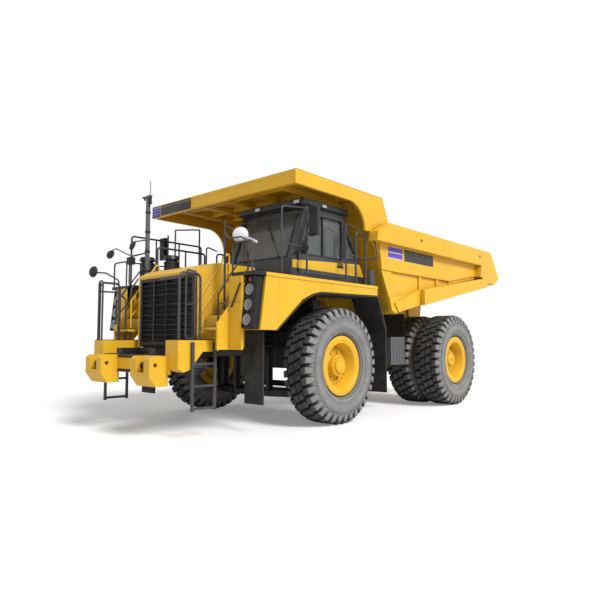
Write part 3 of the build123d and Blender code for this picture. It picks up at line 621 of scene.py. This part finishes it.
# ---- hood and grille
low, high = box_mm("grille")
GRILLE_A, GRILLE_Z0, GRILLE_Z1, GRILLE_X = low[1] - AXLE_Y, low[2], high[2], high[0]
bm = new()
LOUVRES = 30
for i in range(LOUVRES):
    z = GRILLE_Z0 + 70 + i * (GRILLE_Z1 - GRILLE_Z0 - 150) / LOUVRES
    prism(bm, [(GRILLE_A + 2, z), (GRILLE_A + 26, z + 15), (GRILLE_A + 26, z + 19), (GRILLE_A + 2, z + 5)],
          -GRILLE_X + 66, GRILLE_X - 66)
for x in (-370, 370):
    block(bm, x - 20, x + 20, GRILLE_A - 8, GRILLE_A + 8, GRILLE_Z0 + 52, GRILLE_Z1 - 50)
edge_x = GRILLE_X - 4
for z0, z1 in ((GRILLE_Z1 - 58, GRILLE_Z1 - 6), (GRILLE_Z0 + 6, GRILLE_Z0 + 62)):
    block(bm, -edge_x, edge_x, GRILLE_A - 12, GRILLE_A + 10, z0, z1)
for x0 in (-edge_x, edge_x - 60):
    block(bm, x0, x0 + 60, GRILLE_A - 12, GRILLE_A + 10, GRILLE_Z0 + 62, GRILLE_Z1 - 58)
piece("grille_louvres", bm, "black_paint", bevel=2)
bm = new()
block(bm, -180, 520, GRILLE_A - 22, GRILLE_A - 10, GRILLE_Z1 - 50, GRILLE_Z1 + 4)
for x in (-GRILLE_X + 30, -370, 370, GRILLE_X - 30):
    for z in (GRILLE_Z0 + 90, (GRILLE_Z0 + GRILLE_Z1) / 2, GRILLE_Z1 - 90):
        bolt(bm, (x, GRILLE_A - 11, z), (0, -1, 0), 8, 9)
piece("grille_fasteners", bm, "steel", bevel=2)

low, high = box_mm("hood")
HOOD_X, HOOD_Z = high[0], high[2]
bm = new()
for side in (1, -1):
    x = side * HOOD_X
    # side doors of the hood, with a bead above them
    block(bm, x - side * 3, x + side * 0.2, -2180, -1330, 1470, HOOD_Z - 120)
    tube(bm, [(x - side * 8, -2200, HOOD_Z - 40), (x - side * 8, -1280, HOOD_Z - 40)], 8, 5, 8)
for x0, x1 in ((-HOOD_X + 60, -10), (10, HOOD_X - 60)):
    block(bm, x0, x1, -2080, -1300, HOOD_Z - 2, HOOD_Z + 4)
for x in (-600, 0, 600):
    rod(bm, (x - 60, -1290, HOOD_Z + 6), (x + 60, -1290, HOOD_Z + 6), 12, 12)
    rod(bm, (x - 34, -2150, HOOD_Z + 4), (x + 34, -2150, HOOD_Z + 4), 8, 10)
piece("hood_panels", bm, "yellow_paint", bevel=4)

# ---- bumper and platforms
bm = new()
for side in (1, -1):
    for x in (side * 520, side * 890):
        for z in (1050, 1180):
            bolt(bm, (x, -3399, z), (0, -1, 0), 17, 0.9)
    for x in (620, 705, 790):
        bolt(bm, (side * x, -3060, 880), (0, 1, 0), 12, 14)
piece("bumper_bolts", bm, "yellow_paint", bevel=1)
bm = new()
block(bm, -440, 440, -3098, -3090, 1002, 1052)
block(bm, -440, 440, -3098, -3090, 1240, 1289)
for x in range(-400, 401, 100):
    bolt(bm, (x, -3097, 1264), (0, -1, 0), 9, 9)
piece("bumper_strips", bm, "black_paint", bevel=2)
bm = new()
for side in (1, -1):
    # tow pins in their pockets
    rod(bm, (side * 596, -3290, 1150), (side * 814, -3290, 1150), 33, 24)
    rod(bm, (side * 600, -3290, 1150), (side * 640, -3290, 1150), 46, 24)
piece("tow_pins", bm, "steel", bevel=2)
bm = new()
for side in (1, -1):
    # bar grating on each platform, with its frame
    x0, x1 = HOOD_X + 20, 1235
    for i in range(15):
        a = -3075 + i * 52
        block(bm, side * x0, side * x1, a, a + 8, PLATFORM_Z + 0.3, PLATFORM_Z + 12)
    for i in range(8):
        x = x0 + i * (x1 - x0 - 6) / 7
        block(bm, side * x, side * (x + 6), -3080, -2320, PLATFORM_Z + 0.3, PLATFORM_Z + 9)
for i in range(28):
    x = -900 + i * 66
    block(bm, x, x + 14, -3086, -3050, 1289, 1299)
piece("platform_grating", bm, "black_paint")
bm = new()
# plates and lines of bolts on the wings' outer faces
for side in (1, -1):
    for a in (-3050, -2920, -2790, -2660, -2530, -2400):
        bolt(bm, (side * 1250, a, 1490), (side, 0, 0), 11, 9)
    block(bm, side * 1249, side * 1256, -3080, -2960, 1215, 1360)
piece("wing_bolts", bm, "yellow_paint", bevel=1.5)

# ---- stairs, deck, fenders
bm = new()
for side in (1, -1):
    for i in range(4):
        z = PLATFORM_Z + (i + 1) * (DECK_Z - 60 - PLATFORM_Z) / 5
        a = -2560 + i * 215
        for k in range(11):
            x = HOOD_X + 16 + k * 44
            block(bm, side * x, side * (x + 26), a + 8, a + 190, z + 0.2, z + 7)
# anti-slip plates along the deck
for x0, x1, a0, a1 in ((1855, 2070, -2270, 1060), (-2070, -1855, -2270, 1060), (-1850, 150, -1240, 1060),
                       (1530, 1850, -2280, -1180)):
    block(bm, x0, x1, a0, a1, DECK_Z + 0.2, DECK_Z + 5)
for i in range(38):
    a = -1000 + i * 32
    block(bm, 1872, 2062, a, a + 12, DECK_Z + 4, DECK_Z + 30)
for x in (1866, 2062):
    block(bm, x, x + 8, -1004, 204, DECK_Z + 4, DECK_Z + 34)
piece("deck_treads", bm, "black_paint")
bm = new()
for side in (1, -1):
    x = side * 2080
    # band along the deck's edge, seam on the fender, and the panel beside the stairs
    prism(bm, [(-2052, 2541), (-2060, 2600), (1081, 2600), (1081, 2541)], x - side * 3, x + side * 8)
    block(bm, x - side, x + side * 3, -1772, -1764, 1700, 2536)
    block(bm, x - side, x + side * 3, -420, -412, 2384, 2538)
    block(bm, side * 1512, side * 1818, -2338, -2290, 2142, 2160)
    block(bm, side * 1530, side * 1800, -2334, -2290, 1420, 2120)
    for z in (1500, 1800, 2050):
        for x in (1560, 1780):
            bolt(bm, (side * x, -2337, z), (0, -1, 0), 8, 8)
piece("fender_boxes", bm, "yellow_paint", bevel=5)
bm = new()
for side in (1, -1):
    # liner of the wheel arch
    line = [(-1810, 1700), (-1183, 2202), (-898, 2322), (-698, 2362), (1078, 2402)]
    prism(bm, line + [(a, z - 14) for a, z in line[::-1]], side * 1320, side * 2078)
    # rubber edge round the arch
    prism(bm, line + [(a + 10, z - 22) for a, z in line[::-1]], side * 2052, side * 2092)
piece("arch_liners", bm, "flap_rubber")

# ---- headlamps
bm = new()
lens, bowl, cover = new(), new(), new()
foot, head = (-2330, 1720), (-2240, 2530)
length = math.hypot(head[0] - foot[0], head[1] - foot[1])
lean = ((foot[1] - head[1]) / length, (head[0] - foot[0]) / length)


def on_lamp(share, out):
    """A point up the lamps' leaning face, out of it by so much."""
    return tuple(f + (h - f) * share + part * out for f, h, part in zip(foot, head, lean))


for side in (1, -1):
    x0, x1 = side * 1832, side * 2038
    # back plate with a raised rim
    prism(bm, [on_lamp(0, 0), on_lamp(1, 0), (-2054, 2528), (-2174, 1702)], x0, x1)
    for u0, u1 in ((x0, x0 + side * 16), (x1 - side * 16, x1)):
        prism(bm, [on_lamp(0.0, 22), on_lamp(1.0, 22), on_lamp(1.0, -20), on_lamp(0.0, -20)], u0, u1)
    for s in (0.0, 0.29, 0.58, 0.87):
        prism(bm, [on_lamp(s, 18), on_lamp(s + 0.02, 18), on_lamp(s + 0.02, -10), on_lamp(s, -10)], x0, x1)
    middle, out = side * 1935, Vector((0, *lean))
    for share in (0.155, 0.445, 0.735):
        for target, profile in ((bowl, [(0, 88), (20, 88), (20, 78), (6, 60), (2, 20), (0, 20)]),
                                (lens, [(12, 2), (17, 40), (14, 78), (10, 78), (13, 40), (8, 2)])):
            turned(target, at(middle, *on_lamp(share, 0)), out, profile, 40, cap=False)
    turned(cover, at(middle, *on_lamp(0.93, 0)), out, ((0, 32), (16, 32), (22, 22)), 28)
piece("lamp_housings", bm, "trim_plastic", replaces=["headlamps"], bevel=4)
piece("lamp_bowls", bowl, "reflector")
piece("lamp_lenses", lens, "lens")
piece("indicators", cover, "red")

# ---- handrails
RAIL_R = 20


def hoop(bm, start, end, z0, z1, radius):
    """A rail up from one (x, station), along at the top and down to another."""
    tube(bm, [(*start, z0), (*start, z1), (*end, z1), (*end, z0)], radius, 60)


rails, dark = new(), new()
foot = DECK_Z + 5
for side in (1, -1):
    x = side * 2040
    tube(rails, [(x, 87, foot), (x, 87, DECK_Z + 1130), (x, 400, DECK_Z + 1060)], 17, 60)
    rod(rails, (x, 87, DECK_Z + 540), (x, 720, DECK_Z + 520), 15)
    tube(rails, [(x, 720, DECK_Z + 930), (side * 2150, 850, DECK_Z + 930), (side * 2262, 850, DECK_Z + 520),
                 (x, 720, DECK_Z + 500)], 15, 40)
hoop(rails, (-1200, -1826), (-1200, -640), foot, DECK_Z + 780, RAIL_R)
for a, z in ((-1409, 1190), (-1143, 790), (-789, 1290)):
    rod(rails, (-1200, a, foot), (-1200, a, DECK_Z + z), 17)
rod(rails, (-1200, -1409, DECK_Z + 1190), (-1200, -789, DECK_Z + 1290), 15)
x = -2035
hoop(rails, (x, -1900), (x, -80), foot, DECK_Z + 1100, RAIL_R)
for a in (-1300, -700):
    rod(rails, (x, a, foot), (x, a, DECK_Z + 1100), 17)
rod(rails, (x, -1900, DECK_Z + 540), (x, -80, DECK_Z + 540), 15)
for side in (1, -1):
    hoop(rails, (side * 1560, -2290), (side * 2010, -2290), foot, DECK_Z + 480, 16)
# loops on the platforms
foot = PLATFORM_Z + 12
tube(rails, [(1060, -2620, foot), (1060, -2620, 2620), (800, -2620, 2700), (800, -2620, 1560), (1060, -2620, 1560)],
     17, 60)
rod(rails, (800, -2620, 2110), (1060, -2620, 2110), 13)
hoop(rails, (-1190, -3060), (-1060, -3060), foot, 2600, 17)
tube(rails, [(-1215, -3040, 2420), (-1215, -2680, 2420), (-1215, -2500, 2300), (-1215, -2500, foot)], 16, 60)
tube(rails, [(-1130, -2440, foot), (-1130, -2440, 2500), (-1130, -2300, 2700)], 16, 60)
piece("extra_rails", rails, "steel")
# rails up the stairs, on both sides of the treads
gold = new()
for side in (1, -1):
    for x, a, target in ((side * 1030, -2500, gold), (side * 1500, -2530, dark)):
        tube(target, [(x, a, 1760), (x, a, 2260), (x, -1960, 2990), (x, -1900, 2990), (x, -1900, DECK_Z - 40)], 14, 70)
        rod(target, (x, a + 20, 1990), (x, -1930, 2690), 11)
piece("stair_rails_inner", gold, "yellow_paint")
rod(dark, (1600, -2350, 2050), (1800, -2350, 2420), 12)
piece("stair_rails", dark, "black_paint")
for node in ("handrails", "ladders"):
    nodes[node].data.materials[0] = look["steel"]
bm = new()
for side in (1, -1):
    # feet of the posts
    for x, a in ((side * 2040, 87), (side * 2040, 400), (side * 2040, 720), (side * 2040, -1010)):
        block(bm, x - 36, x + 36, a - 36, a + 36, DECK_Z + 4, DECK_Z + 13)
    for a in (-3040, -2640):
        block(bm, side * 1190 - 36, side * 1190 + 36, a - 36, a + 36, PLATFORM_Z + 2, PLATFORM_Z + 14)
piece("post_feet", bm, "black_paint", bevel=2)

# ---- mirrors and mast
arms, shells, glasses, white = new(), new(), new(), new()


def round_mirror(place, out, radius, back):
    """A convex mirror: domed shell behind, glass in front; out is where the glass looks."""
    out = Vector(out).normalized()
    middle = at(*place)
    turned(back, middle, out, ((8, radius), (-6, radius), (-radius * 0.28, radius * 0.86),
                               (-radius * 0.42, radius * 0.55), (-radius * 0.48, 4)), 32)
    turned(glasses, middle, out, ((6, radius * 0.95), (12, radius * 0.7), (16, radius * 0.3), (17, 3)), 32)


for side in (1, -1):
    # big flat mirrors with their brackets
    x = side * 2190
    for target, half, a0, a1, z0, z1 in ((shells, 96, -1046, -974, 706, 1196), (glasses, 84, -973, -970, 722, 1180),
                                         (shells, 78, -1058, -1040, 730, 1170)):
        block(target, x - half, x + half, a0, a1, DECK_Z + z0, DECK_Z + z1)
    rod(arms, (side * 2020, -1010, DECK_Z + 5), (side * 2020, -1010, DECK_Z + 1240), 19)
    for z in (760, 1130):
        rod(arms, (side * 2020, -1010, DECK_Z + z), (side * 2110, -1010, DECK_Z + z), 13)
    rod(arms, (side * 2020, -1010, DECK_Z + 540), (side * 1812, -1060, DECK_Z + 540), 13)
tube(arms, [(2030, -1650, DECK_Z + 5), (2030, -1650, DECK_Z + 1130), (2020, -1010, DECK_Z + 1210)], 15, 60)
rod(arms, (2030, -1650, DECK_Z + 520), (2100, -1190, DECK_Z + 500), 12)
round_mirror((2105, -1180, DECK_Z + 500), (0.15, 1, -0.05), 118, shells)
tube(arms, [(1250, -2190, 2020), (1250, -2190, DECK_Z + 910)], 18, 20)
rod(arms, (1250, -2190, DECK_Z + 830), (1610, -2200, DECK_Z + 650), 13)
round_mirror((1640, -2205, DECK_Z + 620), (-0.55, 0.75, -0.15), 130, white)
tube(white, [(1652, -2200, DECK_Z + 612), (1700, -2190, DECK_Z + 590), (1980, -2170, DECK_Z + 470)], 20, 60, 14)
tube(arms, [(1250, -2190, DECK_Z + 700), (1480, -2300, DECK_Z + 560), (1760, -2300, DECK_Z + 560),
            (1900, -2290, DECK_Z + 470)], 12, 60)
# the right side's mirrors, on the platform and on the mast
tube(arms, [(-1138, -2700, PLATFORM_Z + 12), (-1138, -2700, 2640), (-1330, -2860, 2780), (-1560, -2960, 2800)], 15, 80)
round_mirror((-1590, -2965, 2815), (-0.2, 1, -0.1), 108, shells)
tube(arms, [(-1500, -1870, 3560), (-1500, -2190, 3480), (-1470, -2210, 3400)], 13, 60)
round_mirror((-1480, -2215, 3395), (0.1, 0.9, -0.3), 100, shells)
tube(arms, [(-1500, -1870, 3300), (-1560, -2200, 3200), (-1800, -2390, 3350), (-1960, -2400, 3320)], 12, 60)
round_mirror((-1990, -2400, 3250), (-0.3, 0.9, -0.3), 92, shells)
tube(arms, [(-1480, -1870, DECK_Z + 5), (-1480, -2280, DECK_Z + 5), (-1480, -2280, DECK_Z + 560),
            (-1500, -1870, DECK_Z + 700)], 14, 60)
block(shells, -1560, -1430, -2300, -2180, DECK_Z + 420, DECK_Z + 560)
piece("mirror_arms", arms, "steel")
piece("mirror_shells", shells, "trim_plastic", replaces=["mirrors"], bevel=6)
piece("mirror_glasses", glasses, "mirror")
piece("mirror_white_shell", white, "white")

bm = new()
for z in (2900, 3300, 3700, 4100):
    rod(bm, (-1500, -1870, z), (-1500, -1870, z + 40), 54, 20)
tube(bm, [(-1560, -1870, 4400), (-1640, -1870, 4400), (-1640, -1870, 4460)], 12, 20)
rod(bm, (-1640, -1870, 4440), (-1640, -1870, 4462), 46, 20)
rod(bm, (-1430, -1870, 4300), (-1430, -1870, 4440), 32, 20)
block(bm, -1545, -1385, -1895, -1845, 4290, 4306)
piece("mast_fittings", bm, "trim_plastic", bevel=2)
bm = new()
cx, ca = middle_mm("air_cleaner", 0), middle_mm("air_cleaner", 1) - AXLE_Y
rod(bm, (-1190, ca + 200, DECK_Z + 5), (-1190, ca + 200, DECK_Z + 520), 148, 32)
for x, a in ((cx, ca), (-1190, ca + 200)):
    for z in (60, 200, 340, 480):
        rod(bm, (x, a, DECK_Z + z), (x, a, DECK_Z + z + 22), 156, 32)
    rod(bm, (x, a, DECK_Z + 520), (x, a, DECK_Z + 560), 120, 32)
    rod(bm, (x, a, DECK_Z + 560), (x, a, DECK_Z + 640), 165, 32, 140)
piece("air_cleaner_caps", bm, "black_paint", bevel=3)

# ---- cab
bm = new()
CAB_IN, CAB_OUT = 200, 1800  # outer faces of its two side walls


def front_a(z):
    """Station of the leaning front wall at a height."""
    return -1165 + (z - 2950) * 365 / 1010 if z > 2950 else -1165


# seals round the windscreen, the side windows and the quarter lights
def seal(corners, out, wide=26, thick=10):
    """A rubber frame round a flat opening, given by corners as (x, station, z)."""
    points = [at(*c) for c in corners]
    normal = Vector(out).normalized() * thick * MM
    middle = sum(points, Vector()) / len(points)
    inner = [p + (middle - p).normalized() * wide * 1.3 * MM for p in points]
    for i in range(len(points)):
        j = (i + 1) % len(points)
        quad = [points[i], points[j], inner[j], inner[i]]
        skin(bm, [[p - normal * 0.3 for p in quad], [p + normal for p in quad]])


windscreen = [(x, front_a(z), z) for x, z in ((CAB_IN + 104, 2976), (CAB_OUT - 104, 2976), (CAB_OUT - 104, 3906),
                                              (CAB_IN + 104, 3906))]
seal(windscreen, (0, -1010, 365), 26, 12)
for x, side in ((CAB_OUT, 1), (CAB_IN, -1)):
    seal([(x, 392, 3094), (x, 392, 3654), (x, 796, 3094)], (side, 0, 0), 16, 8)
# gutter, grab bars, wiper, pillar covers
for side, x in ((1, CAB_OUT), (-1, CAB_IN)):
    prism(bm, [(-900, 3930), (-900, 3950), (420, 3950), (420, 3930)], x - side * 2, x + side * 30)
    tube(bm, [(x + side * reach, a, z)
              for reach, a, z in ((4, -1095, 3010), (46, -1090, 3060), (46, -812, 3800), (4, -812, 3830))], 12, 30)
rod(bm, (1500, front_a(2990) - 30, 2990), (1500, front_a(2990) - 8, 2990), 26, 16)
rod(bm, (1500, front_a(3000) - 26, 3000), (1080, front_a(3560) - 22, 3560), 9, 8)
rod(bm, (1240, front_a(3300) - 16, 3300), (900, front_a(3880) - 14, 3790), 7, 8)
rod(bm, (620, front_a(2990) - 30, 2990), (620, front_a(2990) - 8, 2990), 26, 16)
rod(bm, (620, front_a(3000) - 26, 3000), (420, front_a(3460) - 22, 3460), 9, 8)
piece("cab_trim", bm, "trim_plastic", bevel=2)
bm = new()
# bright rails on the cab's front, as they show over the windscreen
tube(bm, [(CAB_IN + 40, front_a(3780) - 60, 3780), (1000, front_a(3780) - 70, 3790),
          (CAB_OUT - 20, front_a(3790) - 60, 3790)], 9, 60)
for x in (CAB_IN + 60, 1000, CAB_OUT - 40):
    rod(bm, (x, front_a(3785) - 60, 3785), (x, front_a(3800) - 2, 3800), 8, 8)
piece("cab_front_rail", bm, "steel")
bm = new()
for x0, x1, a0, a1 in ((1630, 1750, -919, -899), (640, 760, -919, -899), (1834, 1852, -360, -240)):
    block(bm, x0, x1, a0, a1, 3975, 4030)
piece("cab_lamps", bm, "white", bevel=6)
bm = new()
block(bm, 300, 1700, -850, 380, 4058, 4072)
for x in range(340, 1700, 140):
    block(bm, x, x + 50, -840, 370, 4070, 4082)
piece("cab_roof_ribs", bm, "cab_dark", bevel=3)

for side, name in SIDES:
    x = CAB_OUT if side > 0 else CAB_IN
    skin_x = x + side * 10
    bm = new()
    body = f"cab_door_{name}"
    # frame round the door's window, divider, handle and kick plate
    window = [(skin_x, -905, 3052), (skin_x, -664, 3806), (skin_x, 256, 3806), (skin_x, 256, 3052)]
    seal(window, (side, 0, 0), 20, 8)
    block(bm, skin_x - side * 24, skin_x + side * 6, -330, -306, 3066, 3796)
    rod(bm, (skin_x + side * 26, 150, 2980), (skin_x + side * 26, 270, 2980), 10, 10)
    for a in (150, 270):
        rod(bm, (skin_x - side * 2, a, 2980), (skin_x + side * 26, a, 2980), 10, 10)
    block(bm, skin_x - side * 2, skin_x + side * 8, 120, 300, 2900, 2950)
    piece(f"door_trim_{name}", bm, "trim_plastic", body, bevel=2)
    bm = new()
    tube(bm, [(skin_x + side * reach, 290, z) for reach, z in ((2, 3120), (44, 3160), (44, 3660), (2, 3700))], 10, 30)
    piece(f"door_grab_{name}", bm, "steel", body)

# inside the cab
bm = new()
floor_z = 2662
prism(bm, [(-1062, floor_z), (-1062, 2960), (-1020, 2998), (-880, 2990), (-770, 2930), (-762, 2860),
           (-900, floor_z)], 402, 1598)
prism(bm, [(-1010, 2990), (-1000, 3050), (-900, 3060), (-830, 2975)], 1020, 1480)
block(bm, 1500, 1640, -60, 420, floor_z, 3010)
block(bm, 720, 880, -40, 420, floor_z, 2960)
for x in (1175, 560):
    prism(bm, [(20, floor_z), (60, 2800), (330, 2800), (370, floor_z)], x - 150, x + 150)
rod(bm, (1175, -860, 2930), (1175, -560, 3080), 34, 16)
WHEEL_CENTRE = (1175, -560, 3080)
piece("cab_dash", bm, "interior", bevel=6, replaces=["cab_interior"])
bm = new()
axis = Vector((0, -300, -150)).normalized()
centre = at(*WHEEL_CENTRE)
across = Vector((1, 0, 0))
up = axis.cross(across).normalized()
wheel = []
for i in range(40):
    t = 2 * math.pi * i / 40
    spoke = across * math.cos(t) + up * math.sin(t)
    wheel.append([centre + spoke * 0.215 + (spoke * math.cos(k) + axis * math.sin(k)) * 0.016
                  for k in (2 * math.pi * j / 10 for j in range(10))])
skin(bm, wheel + [wheel[0]], cap=False)
for t in (0.3, math.pi - 0.3, -math.pi / 2):
    spoke = across * math.cos(t) + up * math.sin(t)
    turned(bm, centre, spoke, ((0, 15), (205, 11)), 8)
turned(bm, centre, axis, ((-20, 55), (20, 45)), 20)
for x, a, z in ((1560, 60, 3010), (1590, 160, 3010)):
    rod(bm, (x, a, z), (x, a - 20, z + 120), 9, 8)
    rod(bm, (x, a - 20, z + 110), (x, a - 24, z + 150), 20, 12, 14)
piece("steering_wheel", bm, "trim_plastic")


def cushion(bm, x0, x1, a0, a1, z0, z1, crown, lean=0.0):
    """A crowned pad whose sides pull in between its corners, leaning back as it rises."""
    steps = 12
    top, bottom = [], []
    for i in range(steps + 1):
        u = i / steps
        row, low_row = [], []
        for j in range(steps + 1):
            v = j / steps
            pull = 12 * (math.sin(math.pi * v) * (1 - 2 * u))
            pull_a = 12 * (math.sin(math.pi * u) * (1 - 2 * v))
            x = x0 + (x1 - x0) * u + pull
            a = a0 + (a1 - a0) * v + pull_a
            dome = (1 - abs(2 * u - 1) ** 3.2) * (1 - abs(2 * v - 1) ** 3.2)
            seam = 9 * sum(math.exp(-((u - s) / 0.025) ** 2) for s in (0.25, 0.75)) * dome
            row.append((x, a, z1 - crown + crown * dome - seam))
            low_row.append((x, a, z0 + crown * 0.4 - crown * 0.4 * dome))
        top.append(row)
        bottom.append(low_row)

    def place(x, a, z):
        return at(x, 460 - (z - z0) + lean * (a - a0), 3010 + (a - a0)) if lean else at(x, a, z)

    tv = [[bm.verts.new(place(*p)) for p in row] for row in top]
    bv = [[bm.verts.new(place(*p)) for p in row] for row in bottom]
    for i in range(steps):
        for j in range(steps):
            bm.faces.new((tv[i][j], tv[i + 1][j], tv[i + 1][j + 1], tv[i][j + 1]))
            bm.faces.new((bv[i][j], bv[i][j + 1], bv[i + 1][j + 1], bv[i + 1][j]))
    rim = [(i, 0) for i in range(steps)] + [(steps, j) for j in range(steps)]
    rim += [(i, steps) for i in range(steps, 0, -1)] + [(0, j) for j in range(steps, 0, -1)]
    for (i, j), (k, m) in zip(rim, rim[1:] + rim[:1]):
        bm.faces.new((tv[i][j], tv[k][m], bv[k][m], bv[i][j]))


for label, x0, x1 in (("driver", 925, 1425), ("trainer", 330, 790)):
    for kind, form in (("cushion", (x0, x1, -60, 400, 2805, 3010, 70)),
                       ("back", (x0 + 20, x1 - 20, 0, 470, 0, 130, 50, 0.10))):
        bm = new()
        cushion(bm, *form)
        made = piece(f"seat_{kind}_{label}", bm, "seat_fabric", sharp=80)
        smooth = made.modifiers.new("smooth", "SUBSURF")
        smooth.levels = smooth.render_levels = 1

# ---- engine bay and underside
bm = new()
# hoses and pipes beside the engine, seen through the wheel arch
for side in (1, -1):
    for k, (z, bend) in enumerate(((1560, 60), (1660, 80), (1760, 60))):
        tube(bm, [(side * 370, -1300 + 120 * k, z), (side * 640, -1200 + 120 * k, z - 60),
                  (side * 640, -500 + 60 * k, z - 140), (side * 590, -420 + 60 * k, z - 140)], 20 - 3 * k, bend)
    tube(bm, [(side * 700, 4600, 1745), (side * 830, 4500, 1600), (side * 830, 4420, 1300), (side * 600, 4400, 1180)],
         16, 80)
piece("hoses", bm, "hose")
bm = new()
for side in (1, -1):
    # pipes under each wing, with their clamps
    for k, (x, z, radius) in enumerate(((1180, 1120, 24), (1110, 1070, 18), (1050, 1030, 14))):
        tube(bm, [(side * 620, -2960 + 40 * k, z + 40), (side * x, -2960 + 40 * k, z + 20), (side * x, -2420, z - 20),
                  (side * 620, -2380, z - 40)], radius, 90)
    for a in (-2840, -2560):
        block(bm, side * 1030, side * 1210, a, a + 34, 1010, 1024)
        block(bm, side * 1090, side * 1126, a, a + 34, 1010, 1240)
piece("wing_pipes", bm, "steel")
bm = new()
for side in (1, -1):
    # black rubber flaps in front of the rear tyres, with their hangers; they are also painted shadow, standing for the
    # shade under the hoist and frame
    block(bm, side * 640, side * 1500, 3072, 3092, 1500, 2130)
    block(bm, side * 600, side * 1510, 3050, 3072, 2050, 2140)
    for x in (760, 1060, 1360):
        bolt(bm, (side * x, 3050, 2095), (0, -1, 0), 10, 10)
piece("rear_front_flaps", bm, "flap_rubber", bevel=3)
bm = new()
for side in (1, -1):
    for a in range(-900, 4000, 420):
        for back, z in ((0, 1830), (60, 1480)):
            bolt(bm, (side * 580, a + back, z), (side, 0, 0), 12, 12)
piece("frame_bolts", bm, "black_paint")
bm, cover = new(), new()
low, high = box_mm("frame")
tail = high[1] - AXLE_Y
for side in (1, -1):
    block(bm, side * 415, side * 575, tail - 4, tail + 26, 1560, 1640)
    for x in (455, 535):
        rod(cover, (side * x, tail + 24, 1600), (side * x, tail + 34, 1600), 28, 20, 22)
piece("tail_lamp_cases", bm, "trim_plastic", bevel=2)
piece("tail_lamps", cover, "red")
bm = new()
low, high = box_mm("hydraulic_tank")
x = high[0]
for i in range(4):
    a = low[1] - AXLE_Y + 90 + i * 120
    block(bm, x - 2, x + 8, a, a + 16, low[2] + 40, high[2] - 40)
rod(bm, (1320, 2360, 1598), (1320, 2360, 1650), 70, 28)
rod(bm, (1320, 2360, 1650), (1320, 2360, 1672), 52, 28)
low, high = box_mm("fuel_tank")
for a in (1980, 2580):
    block(bm, low[0] - 8, low[0] + 2, a, a + 60, low[2] + 10, high[2] - 10)
    block(bm, low[0] - 8, -870, a, a + 60, low[2] - 8, low[2] + 2)
rod(bm, (-1400, 2200, 1648), (-1400, 2200, 1700), 64, 28)
piece("tank_fittings", bm, "grey_paint", bevel=3)
bm = new()
# ribbed cover behind the cab, over the deck
for i in range(9):
    block(bm, 1960, 2036, 905 + i * 18, 915 + i * 18, DECK_Z + 4, DECK_Z + 320)
block(bm, 1965, 2030, 900, 1066, DECK_Z + 4, DECK_Z + 312)
piece("deck_cover", bm, "grey_paint", bevel=2)

# ---- edges of the CAD nodes
for name in ("bed_canopy", "bed_side_left", "bed_side_right", "bed_floor", "bed_headboard", "hood", "bumper", "fenders",
             "cab_shell", "cab_roof", "door_left", "door_right", "stairs", "deck", "grille", "front_rim_left",
             "front_rim_right", "rear_rims_left", "rear_rims_right", "fuel_tank", "hydraulic_tank", "air_cleaner",
             "mudguards"):
    weld = nodes[name].modifiers.new("weld", "WELD")
    weld.merge_threshold = 1e-5
    soften(nodes[name], 6)

# ---- floor, light and camera
FLOOR_LIFT, WORLD_STRENGTH, SUN_STRENGTH, SUN_ANGLE = 0.22, 0.40, 3.1, 20
LENS, EYE, EYE_TILT, EYE_TURN = 33.05, (8.126, -9.810, 1.528), 94.19, 41.315
bpy.ops.mesh.primitive_plane_add(size=240)
floor = bpy.context.object
floor.name = "floor"
floor_material, tree, shader = new_material("floor")
lift = math_node(tree, "MULTIPLY", add(tree, "LightPath").outputs["Is Camera Ray"], FLOOR_LIFT)
put(tree, shader, Base_Color=(0.86, 0.86, 0.86), Roughness=0.9, Specular_IOR_Level=0.0, Emission_Color=(1, 1, 1),
    Emission_Strength=lift)
floor.data.materials.append(floor_material)

world = bpy.data.worlds.new("studio")
bpy.context.scene.world = world
world.use_nodes = True
tree = world.node_tree
rays = add(tree, "LightPath").outputs
seen = math_node(tree, "MAXIMUM", rays["Is Camera Ray"],
                 math_node(tree, "MAXIMUM", rays["Is Transmission Ray"], rays["Is Glossy Ray"]))
strength = add(tree, "MapRange", Value=seen, To_Min=WORLD_STRENGTH, To_Max=1.0).outputs["Result"]
put(tree, tree.nodes["Background"], Color=(1, 1, 1), Strength=strength)

sun = bpy.data.lights.new("key", "SUN")
sun.energy = SUN_STRENGTH
sun.angle = math.radians(SUN_ANGLE)
key = bpy.data.objects.new("key", sun)
key.rotation_euler = Vector((-0.95, 0.12, -0.85)).to_track_quat("-Z", "Y").to_euler()
bpy.context.scene.collection.objects.link(key)

eye = bpy.data.cameras.new("camera")
eye.lens = LENS
eye.sensor_width = 36.0
camera = bpy.data.objects.new("camera", eye)
camera.location = EYE
camera.rotation_euler = (math.radians(EYE_TILT), 0, math.radians(EYE_TURN))
bpy.context.scene.collection.objects.link(camera)
bpy.context.scene.camera = camera
bpy.context.scene.view_settings.view_transform = "Standard"
